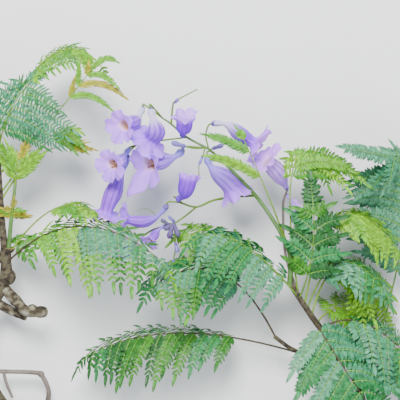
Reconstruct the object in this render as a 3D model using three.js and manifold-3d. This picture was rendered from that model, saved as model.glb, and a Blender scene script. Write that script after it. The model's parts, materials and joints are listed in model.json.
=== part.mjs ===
// A cut branch of a flowering jacaranda, lying on a flat surface.
// Units are millimetres. X runs to the right and Y up the branch as it is looked down on,
// and Z is height above the surface that the branch lies on.
// The branch has two shoots on one bough: a left one with old pruned wood, and a right one
// that carries a panicle of trumpet flowers. Its leaves are twice divided: a leaf stalk
// bears pairs of pinnae, and each pinna is a thin blade cut to its rib between leaflets.
import * as THREE from "three";
import { mergeVertices } from "three/addons/utils/BufferGeometryUtils.js";
import Module from "manifold-3d";

const wasm = await Module();
wasm.setup();

// Driving dimensions
const GAP = 0.3; // clearance where one piece is seated on another
const SLIVER = 0.1; // how far a surface may move where slivers are closed up
const GRIDS = [0.05, 0.04, 0.06, 0.03, 0.045, 0.055, 0.035, 0.065]; // in the order they are tried
const WEIGHT = new THREE.Vector3(0, -1, 0); // the way the foliage droops

const LIMB_SIDES = 8;
const LIMB_STEP = 18; // length of one straight piece of a limb
const STEM_SIDES = 5; // of a flower stem
const PEDICEL_SIDES = 3; // of the stalk of a single flower
const PEDICEL_RADIUS = 0.85;
const PEDICEL_TIP = 3; // straight length behind a flower

const STALK_RADIUS = 1.1; // of a leaf stalk at its foot
const STALK_TAPER = 0.5;
const STALK_SIDES = 3;
const PINNA_SPACING = 15.5; // along a leaf stalk, from one pair of pinnae to the next
const SHORTEST_PINNA = 8; // a shorter one is left out
const PINNA_SWEEP = 62; // degrees between a leaf stalk and its pinnae
const PINNA_WIDTH = 7.6; // from a pinna's rib to the tips of its leaflets
const YOUNG_WIDTH = 0.8; // the same in a young leaf, as a share
const END_PINNA = 0.45; // usual length of the pinna at a leaf's tip, as a share of the longest
const LEAF_SWELL = [0.22, 0.92, 0.8]; // how pinnae lengthen and shorten along a leaf
const BLADE_SWELL = [0.2, 0.88, 0.7]; // how a blade widens and narrows along a pinna
const RIB_RADIUS = 0.6;
const RIB_TAPER = 0.6;
const TOOTH_PITCH = 16.5; // along a pinna, from one cut to the next
const TOOTHED = 0.86; // the share of a pinna that is cut into teeth
const TOOTH_LEAN = 0.95; // how far forward a tooth's tip lies in its own pitch
const TOOTH_FALL = 0.12; // how far a tooth's tip hangs, as a share of its reach

const FLOWER_COLUMNS = 10; // two for each of a flower's five lobes
const MOUTH_RADIUS = 7;
const LOBE_LENGTH = 11;
const LOBE_NOTCH = 0.5; // how far the notch between two lobes reaches, as a share of a lobe
const LOBE_FLARE = 65; // degrees that the lobes spread from the way the flower looks
const TUBE_BOW = 0.42; // how far the tube keeps each end's direction, as a share of its length
const BUD_COLUMNS = 5;

// Small helpers
const vec = (p) => new THREE.Vector3(p[0], p[1], p[2]);
const radians = (degrees) => (degrees * Math.PI) / 180;
const mix = (a, b, t) => a + (b - a) * t;
const swell = (t, [first, last, power]) => Math.sin(Math.PI * mix(first, last, t)) ** power;

// A repeatable source of numbers between 0 and 1
function seeded(seed) {
  let state = seed;
  return () => {
    state = (state * 16807) % 2147483647;
    return state / 2147483647;
  };
}

// The local directions at a place along a curve: forward, to the side, and up towards facing
function frameAt(curve, t, facing) {
  const forward = curve.getTangent(t).normalize();
  const side = new THREE.Vector3().crossVectors(forward, facing).normalize();
  const up = new THREE.Vector3().crossVectors(side, forward).normalize();
  return { point: curve.getPoint(t), forward, side, up };
}

const smoothCurve = (points) => new THREE.CatmullRomCurve3(points.map(vec), false, "catmullrom", 0.5);

// A closed triangle mesh as a solid with its faces pointing out
function solid(geometry) {
  const shape = geometry.index ? geometry : geometry.clone();
  shape.deleteAttribute("normal");
  shape.deleteAttribute("uv");
  const merged = mergeVertices(shape, 1e-4);
  const position = merged.attributes.position;
  const corners = [0, 1, 2].map(() => new THREE.Vector3());
  const triangles = [];
  let volume = 0;
  for (let i = 0; i < merged.index.count; i += 3) {
    const face = [0, 1, 2].map((k) => merged.index.getX(i + k));
    if (new Set(face).size < 3) continue;
    triangles.push(face);
    face.forEach((index, k) => corners[k].fromBufferAttribute(position, index));
    volume += corners[0].dot(corners[1].clone().cross(corners[2]));
  }
  const turned = volume < 0 ? triangles.map(([a, b, c]) => [a, c, b]) : triangles;
  return new wasm.Manifold(
    new wasm.Mesh({
      numProp: 3,
      vertProperties: new Float32Array(position.array),
      triVerts: new Uint32Array(turned.flat()),
    }),
  );
}

// The largest single body of a solid. Slivers are closed up, its corners are put on a fine grid
// so that no edge is too short for a CAD file, and what that flattens is closed up in turn. A
// grid that would bring two corners together is passed over for the next.
function mainBody(shape) {
  const bodies = shape.simplify(SLIVER).decompose();
  const body = bodies.reduce((best, other) => (other.volume() > best.volume() ? other : best));
  const { vertProperties, triVerts } = body.getMesh();
  for (const grid of GRIDS) {
    const snapped = vertProperties.map((value) => Math.round(value / grid) * grid);
    const mesh = new wasm.Mesh({ numProp: 3, vertProperties: snapped, triVerts });
    const tidy = new wasm.Manifold(mesh).simplify(grid / 4);
    if (cornersApart(tidy)) return tidy;
  }
  throw new Error("two corners meet on every grid");
}

// Whether no two corners of a solid share one place
function cornersApart(body) {
  const corners = body.getMesh().vertProperties;
  const places = new Set();
  for (let i = 0; i < corners.length; i += 3) places.add(corners.slice(i, i + 3).join());
  return places.size === corners.length / 3;
}

// A tapering round bar bent along a curve, with flat ends; grow makes it that much larger
function bentBar(curve, radiusAt, sides, steps, facing, grow = 0) {
  const geometry = new THREE.CylinderGeometry(1, 1, 1, sides, steps);
  const position = geometry.attributes.position;
  for (let i = 0; i < position.count; i++) {
    const t = Math.min(1, Math.max(0, position.getY(i) + 0.5));
    const { point, forward, side, up } = frameAt(curve, t, facing);
    const radius = radiusAt(t) + grow / Math.cos(Math.PI / sides);
    point.addScaledVector(side, position.getX(i) * radius);
    point.addScaledVector(up, position.getZ(i) * radius);
    if (t === 0) point.addScaledVector(forward, -grow);
    if (t === 1) point.addScaledVector(forward, grow);
    position.setXYZ(i, point.x, point.y, point.z);
  }
  return solid(geometry);
}

// A limb through a few points, tapering from one radius to another
const UPWARD = new THREE.Vector3(0, 0, 1);
function limb(points, radii, grow = 0, sides = LIMB_SIDES) {
  const curve = smoothCurve(points);
  const steps = Math.max(2, Math.round(curve.getLength() / LIMB_STEP));
  return bentBar(curve, (t) => mix(radii[0], radii[1], t), sides, steps, UPWARD, grow);
}

// One pinna: cuts pairs of pointed teeth down to a three-sided rib, and ends in one more point
function pinnaBlade(path, length, width, facing) {
  const cuts = Math.max(1, Math.round(length / TOOTH_PITCH));
  const step = TOOTHED / cuts;
  const positions = [];
  const faces = [];
  const add = (point) => positions.push(point.x, point.y, point.z) / 3 - 1;
  const stations = [];
  for (let i = 0; i <= cuts; i++) {
    const { point, side, up } = frameAt(path, i * step, facing);
    const rib = RIB_RADIUS * mix(1, RIB_TAPER, i / cuts);
    const halfWidth = rib * Math.sin(radians(60));
    const top = add(point.clone().addScaledVector(up, rib));
    const low = point.clone().addScaledVector(up, -rib / 2);
    const left = add(low.clone().addScaledVector(side, -halfWidth));
    const right = add(low.clone().addScaledVector(side, halfWidth));
    stations.push({ top, left, right });
  }
  for (let i = 0; i < cuts; i++) {
    const a = stations[i];
    const b = stations[i + 1];
    const reach = width * swell((i + 0.5) * step, BLADE_SWELL);
    const { point, side, up } = frameAt(path, (i + TOOTH_LEAN) * step, facing);
    point.addScaledVector(up, -TOOTH_FALL * reach);
    const leftTip = add(point.clone().addScaledVector(side, -reach));
    const rightTip = add(point.clone().addScaledVector(side, reach));
    faces.push(a.top, b.top, leftTip, a.left, leftTip, b.left);
    faces.push(a.top, leftTip, a.left, leftTip, b.top, b.left);
    faces.push(a.top, rightTip, b.top, a.right, b.right, rightTip);
    faces.push(a.top, a.right, rightTip, b.top, rightTip, b.right);
    faces.push(a.left, b.left, b.right, a.left, b.right, a.right);
  }
  const first = stations[0];
  const last = stations[cuts];
  const end = add(path.getPoint(1));
  faces.push(first.top, first.left, first.right);
  faces.push(last.left, last.top, end, last.top, last.right, end, last.right, last.left, end);
  const geometry = new THREE.BufferGeometry();
  geometry.setAttribute("position", new THREE.Float32BufferAttribute(positions, 3));
  geometry.setIndex(faces);
  return solid(geometry);
}

// The course of one pinna: it leaves the stalk one way and is pulled down as it goes
function pinnaPath(base, outward, length, droop) {
  const control = base.clone().addScaledVector(outward, length / 2);
  const end = base.clone().addScaledVector(outward, length).addScaledVector(WEIGHT, droop * length);
  return new THREE.QuadraticBezierCurve3(base, control, end);
}

// The course of a leaf's stalk
function leafPath(leaf) {
  const start = vec(leaf.from);
  const end = vec(leaf.to);
  const control = start.clone().add(end).multiplyScalar(0.5).add(vec(leaf.bend));
  return new THREE.QuadraticBezierCurve3(start, control, end);
}

// Every pinna of a leaf, in order from the foot: where it starts, its way out, its length and
// how far it droops, as a share of that
function leafPinnae(leaf) {
  const path = leafPath(leaf);
  const facing = vec(leaf.facing).normalize();
  const chance = seeded(leaf.seed);
  const { bare, droop, farDroop = droop, tipDroop = droop, far = 1, tip = END_PINNA } = leaf;
  const { spacing = PINNA_SPACING } = leaf;
  const pairs = Math.max(1, Math.round(((1 - bare) * path.getLength()) / spacing));
  const nearSign = frameAt(path, 0.5, facing).side.z < 0 ? -1 : 1;
  const pinnae = [];
  for (let k = 0; k < pairs; k++) {
    const along = (k + 0.5) / pairs;
    const { point, forward, side, up } = frameAt(path, mix(bare, 1, along), facing);
    const share = swell(along, LEAF_SWELL);
    for (const hand of [1, -1]) {
      const sweep = radians(leaf.sweep ?? PINNA_SWEEP) + (chance() - 0.5) * 0.2;
      const lift = (chance() - 0.5) * 0.24;
      const length = leaf.pinna * share * (0.92 + 0.16 * chance()) * (hand > 0 ? 1 : far);
      const outward = forward.clone().multiplyScalar(Math.cos(sweep));
      outward.addScaledVector(side, nearSign * hand * Math.sin(sweep)).addScaledVector(up, lift);
      outward.normalize();
      if (length < SHORTEST_PINNA) continue;
      pinnae.push({ base: point, outward, length, up, droop: hand > 0 ? droop : farDroop });
    }
  }
  const { point, forward, up } = frameAt(path, 1, facing);
  pinnae.push({ base: point, outward: forward, length: leaf.pinna * tip, up, droop: tipDroop });
  return pinnae;
}

// A trumpet flower: a narrow neck that widens to a mouth with five flared lobes, hollow within.
// Each row is a radius and a place along the tube, outside and then back down the inside. The
// row of the lobes' tips is marked by a place past the tube's end.
const RIM = 2;
const TRUMPET = [
  [0, 0], [2.2, 0], [2.6, 0.08], [1.9, 0.2], [3.4, 0.42], [6.6, 0.7], [7.4, 1],
  [8, RIM], [6.6, 1], [0, 0.5],
];
const EVEN_LOBES = [0.9, 1, 1.1, 1, 0.9];
function tubePath(flower) {
  const base = vec(flower.base);
  const mouth = vec(flower.mouth);
  const span = base.distanceTo(mouth) * TUBE_BOW;
  const leave = base.clone().addScaledVector(vec(flower.aim).normalize(), span);
  const arrive = mouth.clone().addScaledVector(vec(flower.look).normalize(), -span);
  return new THREE.CubicBezierCurve3(base, leave, arrive, mouth);
}
function trumpet(flower) {
  const size = flower.size ?? 1;
  const girth = size * (flower.girth ?? 1);
  const flare = radians(flower.flare ?? LOBE_FLARE);
  const lobes = flower.lobes ?? EVEN_LOBES;
  const top = vec(flower.top).normalize();
  const path = tubePath(flower);
  const profile = TRUMPET.map(([radius, along]) => new THREE.Vector2(radius, along));
  const geometry = new THREE.LatheGeometry(profile, FLOWER_COLUMNS, 0);
  const position = geometry.attributes.position;
  for (let i = 0; i < position.count; i++) {
    const along = position.getY(i);
    const angle = Math.atan2(position.getX(i), position.getZ(i));
    const column = Math.round((angle / (2 * Math.PI)) * FLOWER_COLUMNS + FLOWER_COLUMNS);
    const { point, forward, side, up } = frameAt(path, Math.min(along, 1), top);
    const outward = side.multiplyScalar(Math.sin(angle)).addScaledVector(up, Math.cos(angle));
    let radius = Math.hypot(position.getX(i), position.getZ(i)) * girth;
    if (along === RIM) {
      const share = column % 2 ? lobes[Math.floor((column % FLOWER_COLUMNS) / 2)] : LOBE_NOTCH;
      const lobe = LOBE_LENGTH * size * share;
      radius = MOUTH_RADIUS * girth + lobe * Math.sin(flare);
      point.addScaledVector(forward, lobe * Math.cos(flare));
    }
    point.addScaledVector(outward, radius);
    position.setXYZ(i, point.x, point.y, point.z);
  }
  return solid(geometry);
}

// A closed bud or a spent calyx, from its foot to its tip
const BUD = [[0, 0], [1.2, 0], [1.3, 0.2], [1.9, 0.72], [1.2, 0.96], [0, 1]];
const BUD_FACING = new THREE.Vector3(0.1, 0.2, 1);
function bud({ from, to, size = 1, grow = 0 }) {
  const profile = BUD.map(([radius, along]) => {
    return new THREE.Vector2(radius ? radius * size + grow : 0, along);
  });
  const geometry = new THREE.LatheGeometry(profile, BUD_COLUMNS);
  const position = geometry.attributes.position;
  const curve = new THREE.LineCurve3(vec(from), vec(to));
  for (let i = 0; i < position.count; i++) {
    const { point, side, up } = frameAt(curve, position.getY(i), BUD_FACING);
    point.addScaledVector(side, position.getX(i)).addScaledVector(up, position.getZ(i));
    position.setXYZ(i, point.x, point.y, point.z);
  }
  return solid(geometry);
}

// The flowers. Each has the foot and the mouth of its tube, the ways that these point, the side
// that counts as its top, and the place where its own stalk leaves the panicle. The two without
// such a place sit on the end of the bare stalk.
const FLOWERS = [
  { name: "flower_01", stalk: "flower_stalk", fork: [-30, 65.5, 57], base: [-45.4, 74, 52],
    aim: [-0.3, -0.7, 0.6], mouth: [-59.6, 58.4, 76], look: [-0.68, -0.2, 0.7],
    top: [0.3, 1, 0.3], size: 0.9, lobes: [0.9, 1.1, 1.2, 1, 0.85] },
  { name: "flower_02", stalk: "flower_stalk", fork: [-30, 65.5, 57], base: [-39, 72.6, 69],
    aim: [0.1, -1, 0.1], mouth: [-38, 49, 70], look: [-0.6, -0.5, -0.62], top: [-0.4, 0.2, -1],
    girth: 1.12 },
  { name: "flower_03", stalk: "flower_stalk", fork: [-10, 50, 56.5], base: [-13.8, 51.4, 60.4],
    aim: [0, 0.1, 1], mouth: [-12.2, 61.8, 74], look: [0.05, 0.9, 0.44], top: [0, 0.44, -0.9],
    size: 0.72, girth: 1.2, flare: 26, lobes: [1.05, 0.7, 0.5, 0.7, 1.15] },
  { name: "flower_04", stalk: "flower_stalk", fork: [-10, 50, 56], via: [[-36, 47, 46]],
    base: [-56.4, 41, 50], aim: [-0.5, -0.6, 0.6], mouth: [-68.8, 28, 69],
    look: [-0.62, -0.25, 0.74], top: [0.2, 1, 0.3], size: 0.86, lobes: [0.9, 1, 1.15, 1.1, 0.9] },
  { name: "flower_05", stalk: "flower_stalk", fork: [6, 41.4, 58], base: [-13.4, 40.4, 50],
    aim: [-0.6, -0.75, 0.2], mouth: [-39.6, 29, 60], look: [-0.72, -0.3, 0.62],
    top: [0.5, 0.85, 0.25], size: 1.15, lobes: [0.75, 0.9, 1.95, 1.2, 0.8] },
  { name: "flower_06", stalk: "flower_stalk", fork: [-46, 45, 46.2], via: [[-52, 43.4, 43]],
    base: [-58, 36, 42.5], aim: [-0.3, -0.9, 0.1], mouth: [-74, -8, 47],
    look: [-0.3, -0.93, -0.2], top: [-1, 0.1, 0.1], girth: 1.15, lobes: [1.1, 0.9, 1.1, 1, 1] },
  { name: "flower_07", stalk: "flower_lateral", fork: [-16, -2, 50], base: [-26.4, -4, 52],
    aim: [-0.5, -0.85, 0], mouth: [-57, -16.6, 45.4], look: [-0.95, 0.2, 0.2], top: [0, 1, 0],
    girth: 0.78, lobes: [1, 0.9, 0.8, 0.9, 1] },
  { name: "flower_08", stalk: "flower_stalk", fork: [9, 38.5, 58], base: [5.8, 35.4, 59],
    aim: [0.05, -1, 0.1], mouth: [25, 11, 50], look: [0.55, -0.8, -0.2], top: [0.8, 0.55, 0.1],
    girth: 1.2, flare: 24, lobes: [1.1, 1, 1.1, 1.2, 1.1] },
  { name: "flower_09", stalk: "flower_stalk", fork: [7, 40.5, 58], via: [[4.6, 51, 58]],
    base: [9.6, 60.4, 58], aim: [0.9, 0.3, 0], mouth: [41, 45.4, 56], look: [0.84, -0.5, 0.1],
    top: [0.5, 0.85, 0.1], lobes: [1.35, 1.2, 1, 1.1, 1.2] },
  { name: "flower_10", stalk: "bare_stalk", base: [70, 8.6, 43], aim: [-0.45, 0.85, 0.25],
    mouth: [54.4, 30, 60], look: [-0.6, 0.62, 0.5], top: [-0.5, 0.1, -0.8], size: 0.82,
    girth: 1.15, lobes: [0.9, 1.1, 1, 1.2, 1] },
  { name: "flower_11", stalk: "flower_lateral", fork: [-14, -2.4, 50], base: [-18.6, 1.6, 54],
    aim: [0.7, -0.3, 0.6], mouth: [-9.8, 14.6, 62], look: [0.2, 0.97, -0.1], top: [0, 0, -1],
    size: 0.8, girth: 1.15, flare: 8, lobes: [0.85, 0.6, 0.5, 0.7, 0.9] },
  { name: "flower_12", stalk: "flower_lateral", fork: [-21, -19, 44], base: [-28.6, -20.6, 44],
    aim: [-0.8, -0.5, 0], mouth: [-39, -32, 46], look: [-0.5, -0.75, 0.4], top: [-0.3, 0.6, 0.6],
    size: 0.55 },
  { name: "flower_13", stalk: "flower_lateral", fork: [-21, -19, 44], via: [[-38, -24, 33]],
    base: [-52, -34, 36], aim: [-0.7, -0.6, 0.4], mouth: [-61, -43, 43], look: [-0.6, -0.7, 0.4],
    top: [-0.3, 0.5, 0.7], size: 0.6, flare: 8, lobes: [0.5, 0.5, 0.5, 0.5, 0.5] },
  { name: "flower_14", stalk: "bare_stalk", base: [70.4, 4.2, 42], aim: [0.3, -0.9, 0.2],
    mouth: [77.8, -6, 43.6], look: [0.5, -0.8, 0.3], top: [0.5, 0.7, 0.3], size: 0.66, flare: 50,
    lobes: [0.8, 1, 1.3, 1.1, 0.9] },
];

// The two flower stems, each with its side stalks, buds and spent calyces
const STALKS = {
  flower_stalk: {
    seat: "right_stem",
    parts: [
      { points: [[72, -69, 46], [71, -40, 48], [49, -2.4, 54], [20, 29, 57], [5.6, 41.6, 58]],
        radii: [2.3, 1.25] },
      { points: [[6, 41.2, 58], [-10.4, 50, 56.5], [-23, 60.6, 57], [-31, 66, 57]],
        radii: [1.25, 0.85] },
      { points: [[-23, 60.6, 57], [-21.6, 75, 60], [-19, 79, 61], [-2, 88, 62]],
        radii: [0.9, 0.6] },
      { points: [[5, 41.6, 58], [-4, 41, 61], [-11.6, 42.4, 62]], radii: [0.7, 0.6] },
      { points: [[4.4, 42.4, 58], [2.4, 35.6, 60]], radii: [0.7, 0.6] },
      { points: [[8, 40, 58.6], [10, 40.8, 60.5]], radii: [0.7, 0.6] },
    ],
    buds: [
      { from: [-11.4, 42.3, 62], to: [-22.8, 45.8, 63] },
      { from: [9.6, 40.7, 60.3], to: [18.6, 43.8, 62] },
      { from: [2.6, 36, 60], to: [-0.8, 28, 61], size: 0.7 },
      { from: [-20.6, 77, 60.4], to: [-17, 80.6, 61], size: 0.8 },
    ],
  },
  flower_lateral: {
    seat: "flower_stalk",
    parts: [
      { points: [[44, 3.6, 54], [30, 2.6, 38], [11.6, 0, 40], [-2.8, -5.5, 48], [-16.4, -2, 50]],
        radii: [1.1, 0.8] },
      { points: [[-2.8, -5.5, 48], [-12, -13, 46], [-22, -20, 44]], radii: [0.8, 0.7] },
      { points: [[-21, -19, 44], [-19.6, -36, 41], [-21.4, -49, 40]], radii: [0.7, 0.6] },
    ],
    buds: [
      { from: [-19.8, -34, 41.3], to: [-18, -42, 44], size: 0.9 },
      { from: [-21.3, -48, 40], to: [-21.8, -56, 41] },
      { from: [-20, -18, 44.4], to: [-25.6, -12.6, 47], size: 0.8 },
    ],
  },
};

// The woody limbs and green shoots. Each starts inside the limb that bears it and is cut clear.
const LIMBS = [
  { name: "bough", radii: [7.5, 5.5],
    points: [[185, -200, 7.5], [120, -200, 7.5], [40, -197, 6.6], [-60, -196, 6], [-130, -182, 5.5]] },
  { name: "left_limb", seat: "bough", radii: [5.4, 4.6],
    points: [[-124, -184, 6], [-158, -171, 9], [-177, -132, 19], [-171, -92, 28], [-158, -66, 34],
      [-156, -38, 38]],
    knots: [[-155, -62, 36, 7], [-158, -46, 35, 6.4], [-153.5, -38, 39, 5.4], [-174, -112, 24, 6.4]] },
  { name: "pruned_stub_upper", seat: "left_limb", radii: [4.6, 5], finish: "pale_bark",
    points: [[-157, -72, 34], [-148, -82, 37], [-140, -89, 38], [-125.6, -90.4, 38]],
    knots: [[-128.4, -90.4, 38, 5.6]] },
  { name: "pruned_stub_lower", seat: "left_limb", radii: [4, 3.4], finish: "pale_bark",
    points: [[-166, -82, 30], [-153, -90, 27], [-141, -94.6, 26]] },
  { name: "left_stem", seat: "left_limb", radii: [3.4, 1.6],
    points: [[-157, -42, 38], [-159, -20, 41], [-161, 20, 46], [-161, 64, 56]] },
  { name: "left_shoot", seat: "left_limb", radii: [1.9, 1.2], finish: "green_stem",
    points: [[-154, -40, 40], [-151.6, -18, 46], [-149, 2, 49], [-147.6, 16, 50]] },
  { name: "bare_twig", seat: "left_limb", radii: [2.2, 1.8],
    points: [[-152, -175, 9], [-129, -170, 12], [-123.4, -157, 15], [-128.6, -143.4, 17],
      [-134, -140.6, 17.4], [-165, -139.6, 18]],
    knots: [[-129.4, -142, 17.2, 2.9]] },
  { name: "bare_spur", seat: "bare_twig", radii: [1.5, 1.1],
    points: [[-160, -139.6, 18], [-157.6, -150, 17], [-153, -161, 16]] },
  { name: "right_stem", seat: "bough", radii: [3.6, 2.3],
    points: [[136, -200, 7], [131, -160, 22], [117, -124, 33], [96, -102, 39], [72, -67, 46]] },
  { name: "side_shoot", seat: "right_stem", radii: [2.2, 1.6],
    points: [[119, -128, 32], [95, -128, 24], [75, -121, 27], [60, -110.4, 30]] },
  { name: "bare_stalk", seat: "right_stem", radii: [1.3, 0.8],
    points: [[80, -80, 43], [69, -44, 36], [67, -12, 35], [67.4, 0, 38], [70.2, 8.1, 42.8]] },
];

// The leaves. Each has the foot and tip of its stalk, how far the stalk bows from a straight
// line, the length of its longest pinnae, the way it faces, and how it differs from the rest.
const LEAVES = [
  { name: "leaf_left_arch", tint: "young", seat: "left_stem", from: [-160.6, 60, 55],
    to: [-78, 106, 64], bend: [7, 66, 8], bare: 0.25, pinna: 20, facing: [-0.2, 0.75, 0.63],
    droop: 0.5, farDroop: 0.15, sweep: 50, far: 0.6 },
  { name: "leaf_left_golden", tint: "golden", seat: "left_stem", from: [-160, 22, 45.6],
    to: [-86, 102.5, 77], bend: [4, -4, 8], bare: 0.7, pinna: 44, facing: [-0.2, 0.3, 0.93],
    droop: 0.55, farDroop: 0.1, sweep: 34, far: 0.42, tip: 0.75 },
  { name: "leaf_left_fan", tint: "mature", seat: "left_stem", from: [-161, 42, 50],
    to: [-136, 93, 65], bend: [-6, 2, 10], bare: 0.2, pinna: 52, facing: [0.1, 0.55, 0.83],
    droop: 0.3, sweep: 70, far: 0.5 },
  { name: "leaf_left_tips", tint: "young", seat: "left_stem", from: [-159.6, 6, 44],
    to: [-104, 57, 47], bend: [0, 14, 2], bare: 0.7, pinna: 20, facing: [0, 0.5, 0.85],
    droop: 0.5, sweep: 40, far: 0.7 },
  { name: "leaf_left_spike", tint: "golden", seat: "left_stem", from: [-159.4, 0, 43],
    to: [-97, 43, 48], bend: [-4, 27, 2], bare: 0.84, pinna: 12, facing: [0, 0.6, 0.8],
    droop: 0.05, sweep: 24, tip: 1 },
  { name: "leaf_left_erect", tint: "young", seat: "left_shoot", from: [-147.8, 10, 49.6],
    to: [-144, 30, 56], bend: [-2, 0, 0], bare: 0.15, pinna: 30, facing: [0, -0.1, 1], droop: 0,
    sweep: 38, tip: 0.7, spacing: 8 },
  { name: "leaf_left_tuft", tint: "golden", seat: "left_shoot", from: [-151, -12, 47],
    to: [-141, -12, 51], bend: [0, 3, 0], bare: 0.3, pinna: 11, facing: [0, 0.5, 0.85],
    droop: 0.1, sweep: 62, tip: 0.8, spacing: 7 },
  { name: "leaf_left_young", tint: "young", seat: "left_limb", from: [-156, -47, 37],
    to: [-88, -9, 64], bend: [4, 38, 4], bare: 0.52, pinna: 17, facing: [-0.2, 0.9, 0.4],
    droop: 0.3, sweep: 45 },
  { name: "leaf_left_long", tint: "mature", seat: "left_limb", from: [-155, -50, 38],
    to: [-33, -46, 76], bend: [-4, 54, 8], bare: 0.2, pinna: 42, facing: [0, 0.8, 0.6],
    droop: 0.6, farDroop: 0.1, far: 0.42 },
  { name: "leaf_left_small", tint: "mature", seat: "left_limb", from: [-158, -44, 36],
    to: [-136, -31, 40], bend: [0, 4, 0], bare: 0.3, pinna: 18, facing: [0.2, 0.6, 0.8],
    droop: 0.4 },
  { name: "leaf_back_high", tint: "mature", seat: "left_stem", from: [-161.5, 50, 52],
    to: [-204, 104, 14], bend: [-8, 6, 22], bare: 0.3, pinna: 34, facing: [-0.4, 0.4, 0.85],
    droop: 0.2 },
  { name: "leaf_back_middle", tint: "mature", seat: "left_stem", from: [-160, 10, 44],
    to: [-216, 28, 44], bend: [0, 18, 6], bare: 0.3, pinna: 30, facing: [-0.2, 0.6, 0.75],
    droop: 0.4 },
  { name: "leaf_back_low", tint: "young", seat: "left_limb", from: [-162, -54, 36],
    to: [-214, -52, 32], bend: [0, 22, 4], bare: 0.3, pinna: 28, facing: [-0.1, 0.7, 0.7],
    droop: 0.4 },
  { name: "leaf_right_front", tint: "mature", seat: "right_stem", from: [88, -91, 41.5],
    to: [136, -166, 58], bend: [-4, 4, 22], bare: 0.14, pinna: 50, facing: [0.1, 0.25, 0.96],
    droop: 0.1, farDroop: 0.45, sweep: 66, far: 0.9 },
  { name: "leaf_middle_front", tint: "mature", seat: "right_stem", from: [80, -79.5, 44],
    to: [2, -28, 70], bend: [-8, 33, 17], bare: 0.1, pinna: 38, facing: [0, 0.75, 0.66],
    droop: 0.5, far: 0.8 },
  { name: "leaf_middle_left", tint: "mature", seat: "side_shoot", from: [61, -111, 30],
    to: [-36, -68, 60], bend: [7, 62, -6], bare: 0.32, pinna: 36, facing: [0, 0.7, 0.7],
    droop: 0.45 },
  { name: "leaf_low_left", tint: "mature", seat: "side_shoot", from: [84, -125.4, 25],
    to: [-88, -124, 36], bend: [-24, 34, 4], bare: 0.26, pinna: 37, facing: [0, 0.92, 0.4],
    droop: 0.55, farDroop: 0.1, far: 0.6 },
  { name: "leaf_before_flowers", tint: "young", seat: "flower_stalk", from: [67.6, -30, 50],
    to: [35, 47, 75], bend: [1, 0, 14], bare: 0.75, pinna: 52, facing: [0.1, 0.4, 0.9],
    droop: 0.2, farDroop: 0.5, sweep: 50, far: 0.3, tip: 0.2 },
  { name: "leaf_right_arch", tint: "young", seat: "right_stem", from: [79, -77, 44],
    to: [86, 39, 54], bend: [-21, 57, 14], bare: 0.55, pinna: 56, facing: [-0.15, 0.3, 0.95],
    droop: 0.42, sweep: 56, far: 0.2, tip: 0.8 },
  { name: "leaf_right_blue", tint: "mature", seat: "right_stem", from: [80, -78, 45],
    to: [90, -6, 62], bend: [8, -4, 10], bare: 0.12, pinna: 32, facing: [0, 0.25, 0.97],
    droop: 0.15, sweep: 54, tip: 0.9 },
  { name: "leaf_right_high", tint: "young", seat: "right_stem", from: [84, -84, 43],
    to: [160, -42, 48], bend: [-18, 98, 6], bare: 0.4, pinna: 27, facing: [0, 0.88, 0.47],
    droop: 0.4, farDroop: 0.2, far: 0.7 },
  { name: "leaf_right_middle", tint: "mature", seat: "right_stem", from: [86, -88, 42],
    to: [148, -74, 56], bend: [-8, 62, 2], bare: 0.26, pinna: 32, facing: [0, 0.88, 0.47],
    droop: 0.45, far: 0.8 },
  { name: "leaf_right_low", tint: "mature", seat: "right_stem", from: [98, -104, 38],
    to: [166, -124, 44], bend: [-6, 32, 2], bare: 0.34, pinna: 34, facing: [0, 0.8, 0.6],
    droop: 0.55 },
  { name: "leaf_behind_bright", tint: "young", seat: "right_stem", from: [90, -92, 40],
    to: [146, -86, 19], bend: [-10, 68, 4], bare: 0.3, pinna: 38, facing: [0, 0.6, 0.8],
    droop: 0.5 },
  { name: "leaf_behind_low", tint: "young", seat: "right_stem", from: [94, -99, 38],
    to: [132, -94, 15], bend: [-2, 18, -5], bare: 0.3, pinna: 26, facing: [0, 0.5, 0.86],
    droop: 0.3 },
  { name: "leaf_behind_left", tint: "young", seat: "right_stem", from: [77, -75, 44.5],
    to: [-14, -28, 34], bend: [-4, 32, -10], bare: 0.34, pinna: 25, facing: [0, 0.6, 0.8],
    droop: 0.35 },
  { name: "leaf_right_edge", tint: "mature", seat: "right_stem", from: [131, -162, 21],
    to: [154, 34, 54], bend: [48, 92, -20], bare: 0.36, pinna: 54, facing: [0.1, 0.3, 0.95],
    droop: 0.35, tipDroop: 0, sweep: 58, far: 0.6, tip: 0.9 },
  { name: "leaf_right_foot", tint: "mature", seat: "right_stem", from: [133, -172, 17.5],
    to: [206, -142, 10], bend: [4, 20, 8], bare: 0.28, pinna: 34, facing: [0.2, 0.3, 0.93],
    droop: 0.2 },
];

// Colour and roughness of each kind of surface
const FINISHES = {
  bark: [0x6b6457, 0.85],
  pale_bark: [0xa9a59b, 0.85],
  green_stem: [0x8fb07c, 0.6],
  petal: [0xb7a3e6, 0.55],
  mature: [0x7bae80, 0.6],
  young: [0xa5c963, 0.6],
  golden: [0xbdbf5a, 0.6],
};

const branch = new THREE.Group();
const placed = new Map(); // each finished solid by its name
const grown = new Map(); // the same limbs made larger all round by the clearance

function place(name, shape, finish) {
  const body = mainBody(shape);
  const { vertProperties, triVerts } = body.getMesh();
  const geometry = new THREE.BufferGeometry();
  geometry.setAttribute("position", new THREE.BufferAttribute(vertProperties, 3));
  geometry.setIndex(new THREE.BufferAttribute(triVerts, 1));
  geometry.computeVertexNormals();
  const [color, roughness] = FINISHES[finish];
  const material = new THREE.MeshStandardMaterial({ color, roughness, metalness: 0 });
  const mesh = new THREE.Mesh(geometry, material);
  mesh.name = name;
  branch.add(mesh);
  placed.set(name, body);
}

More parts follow.
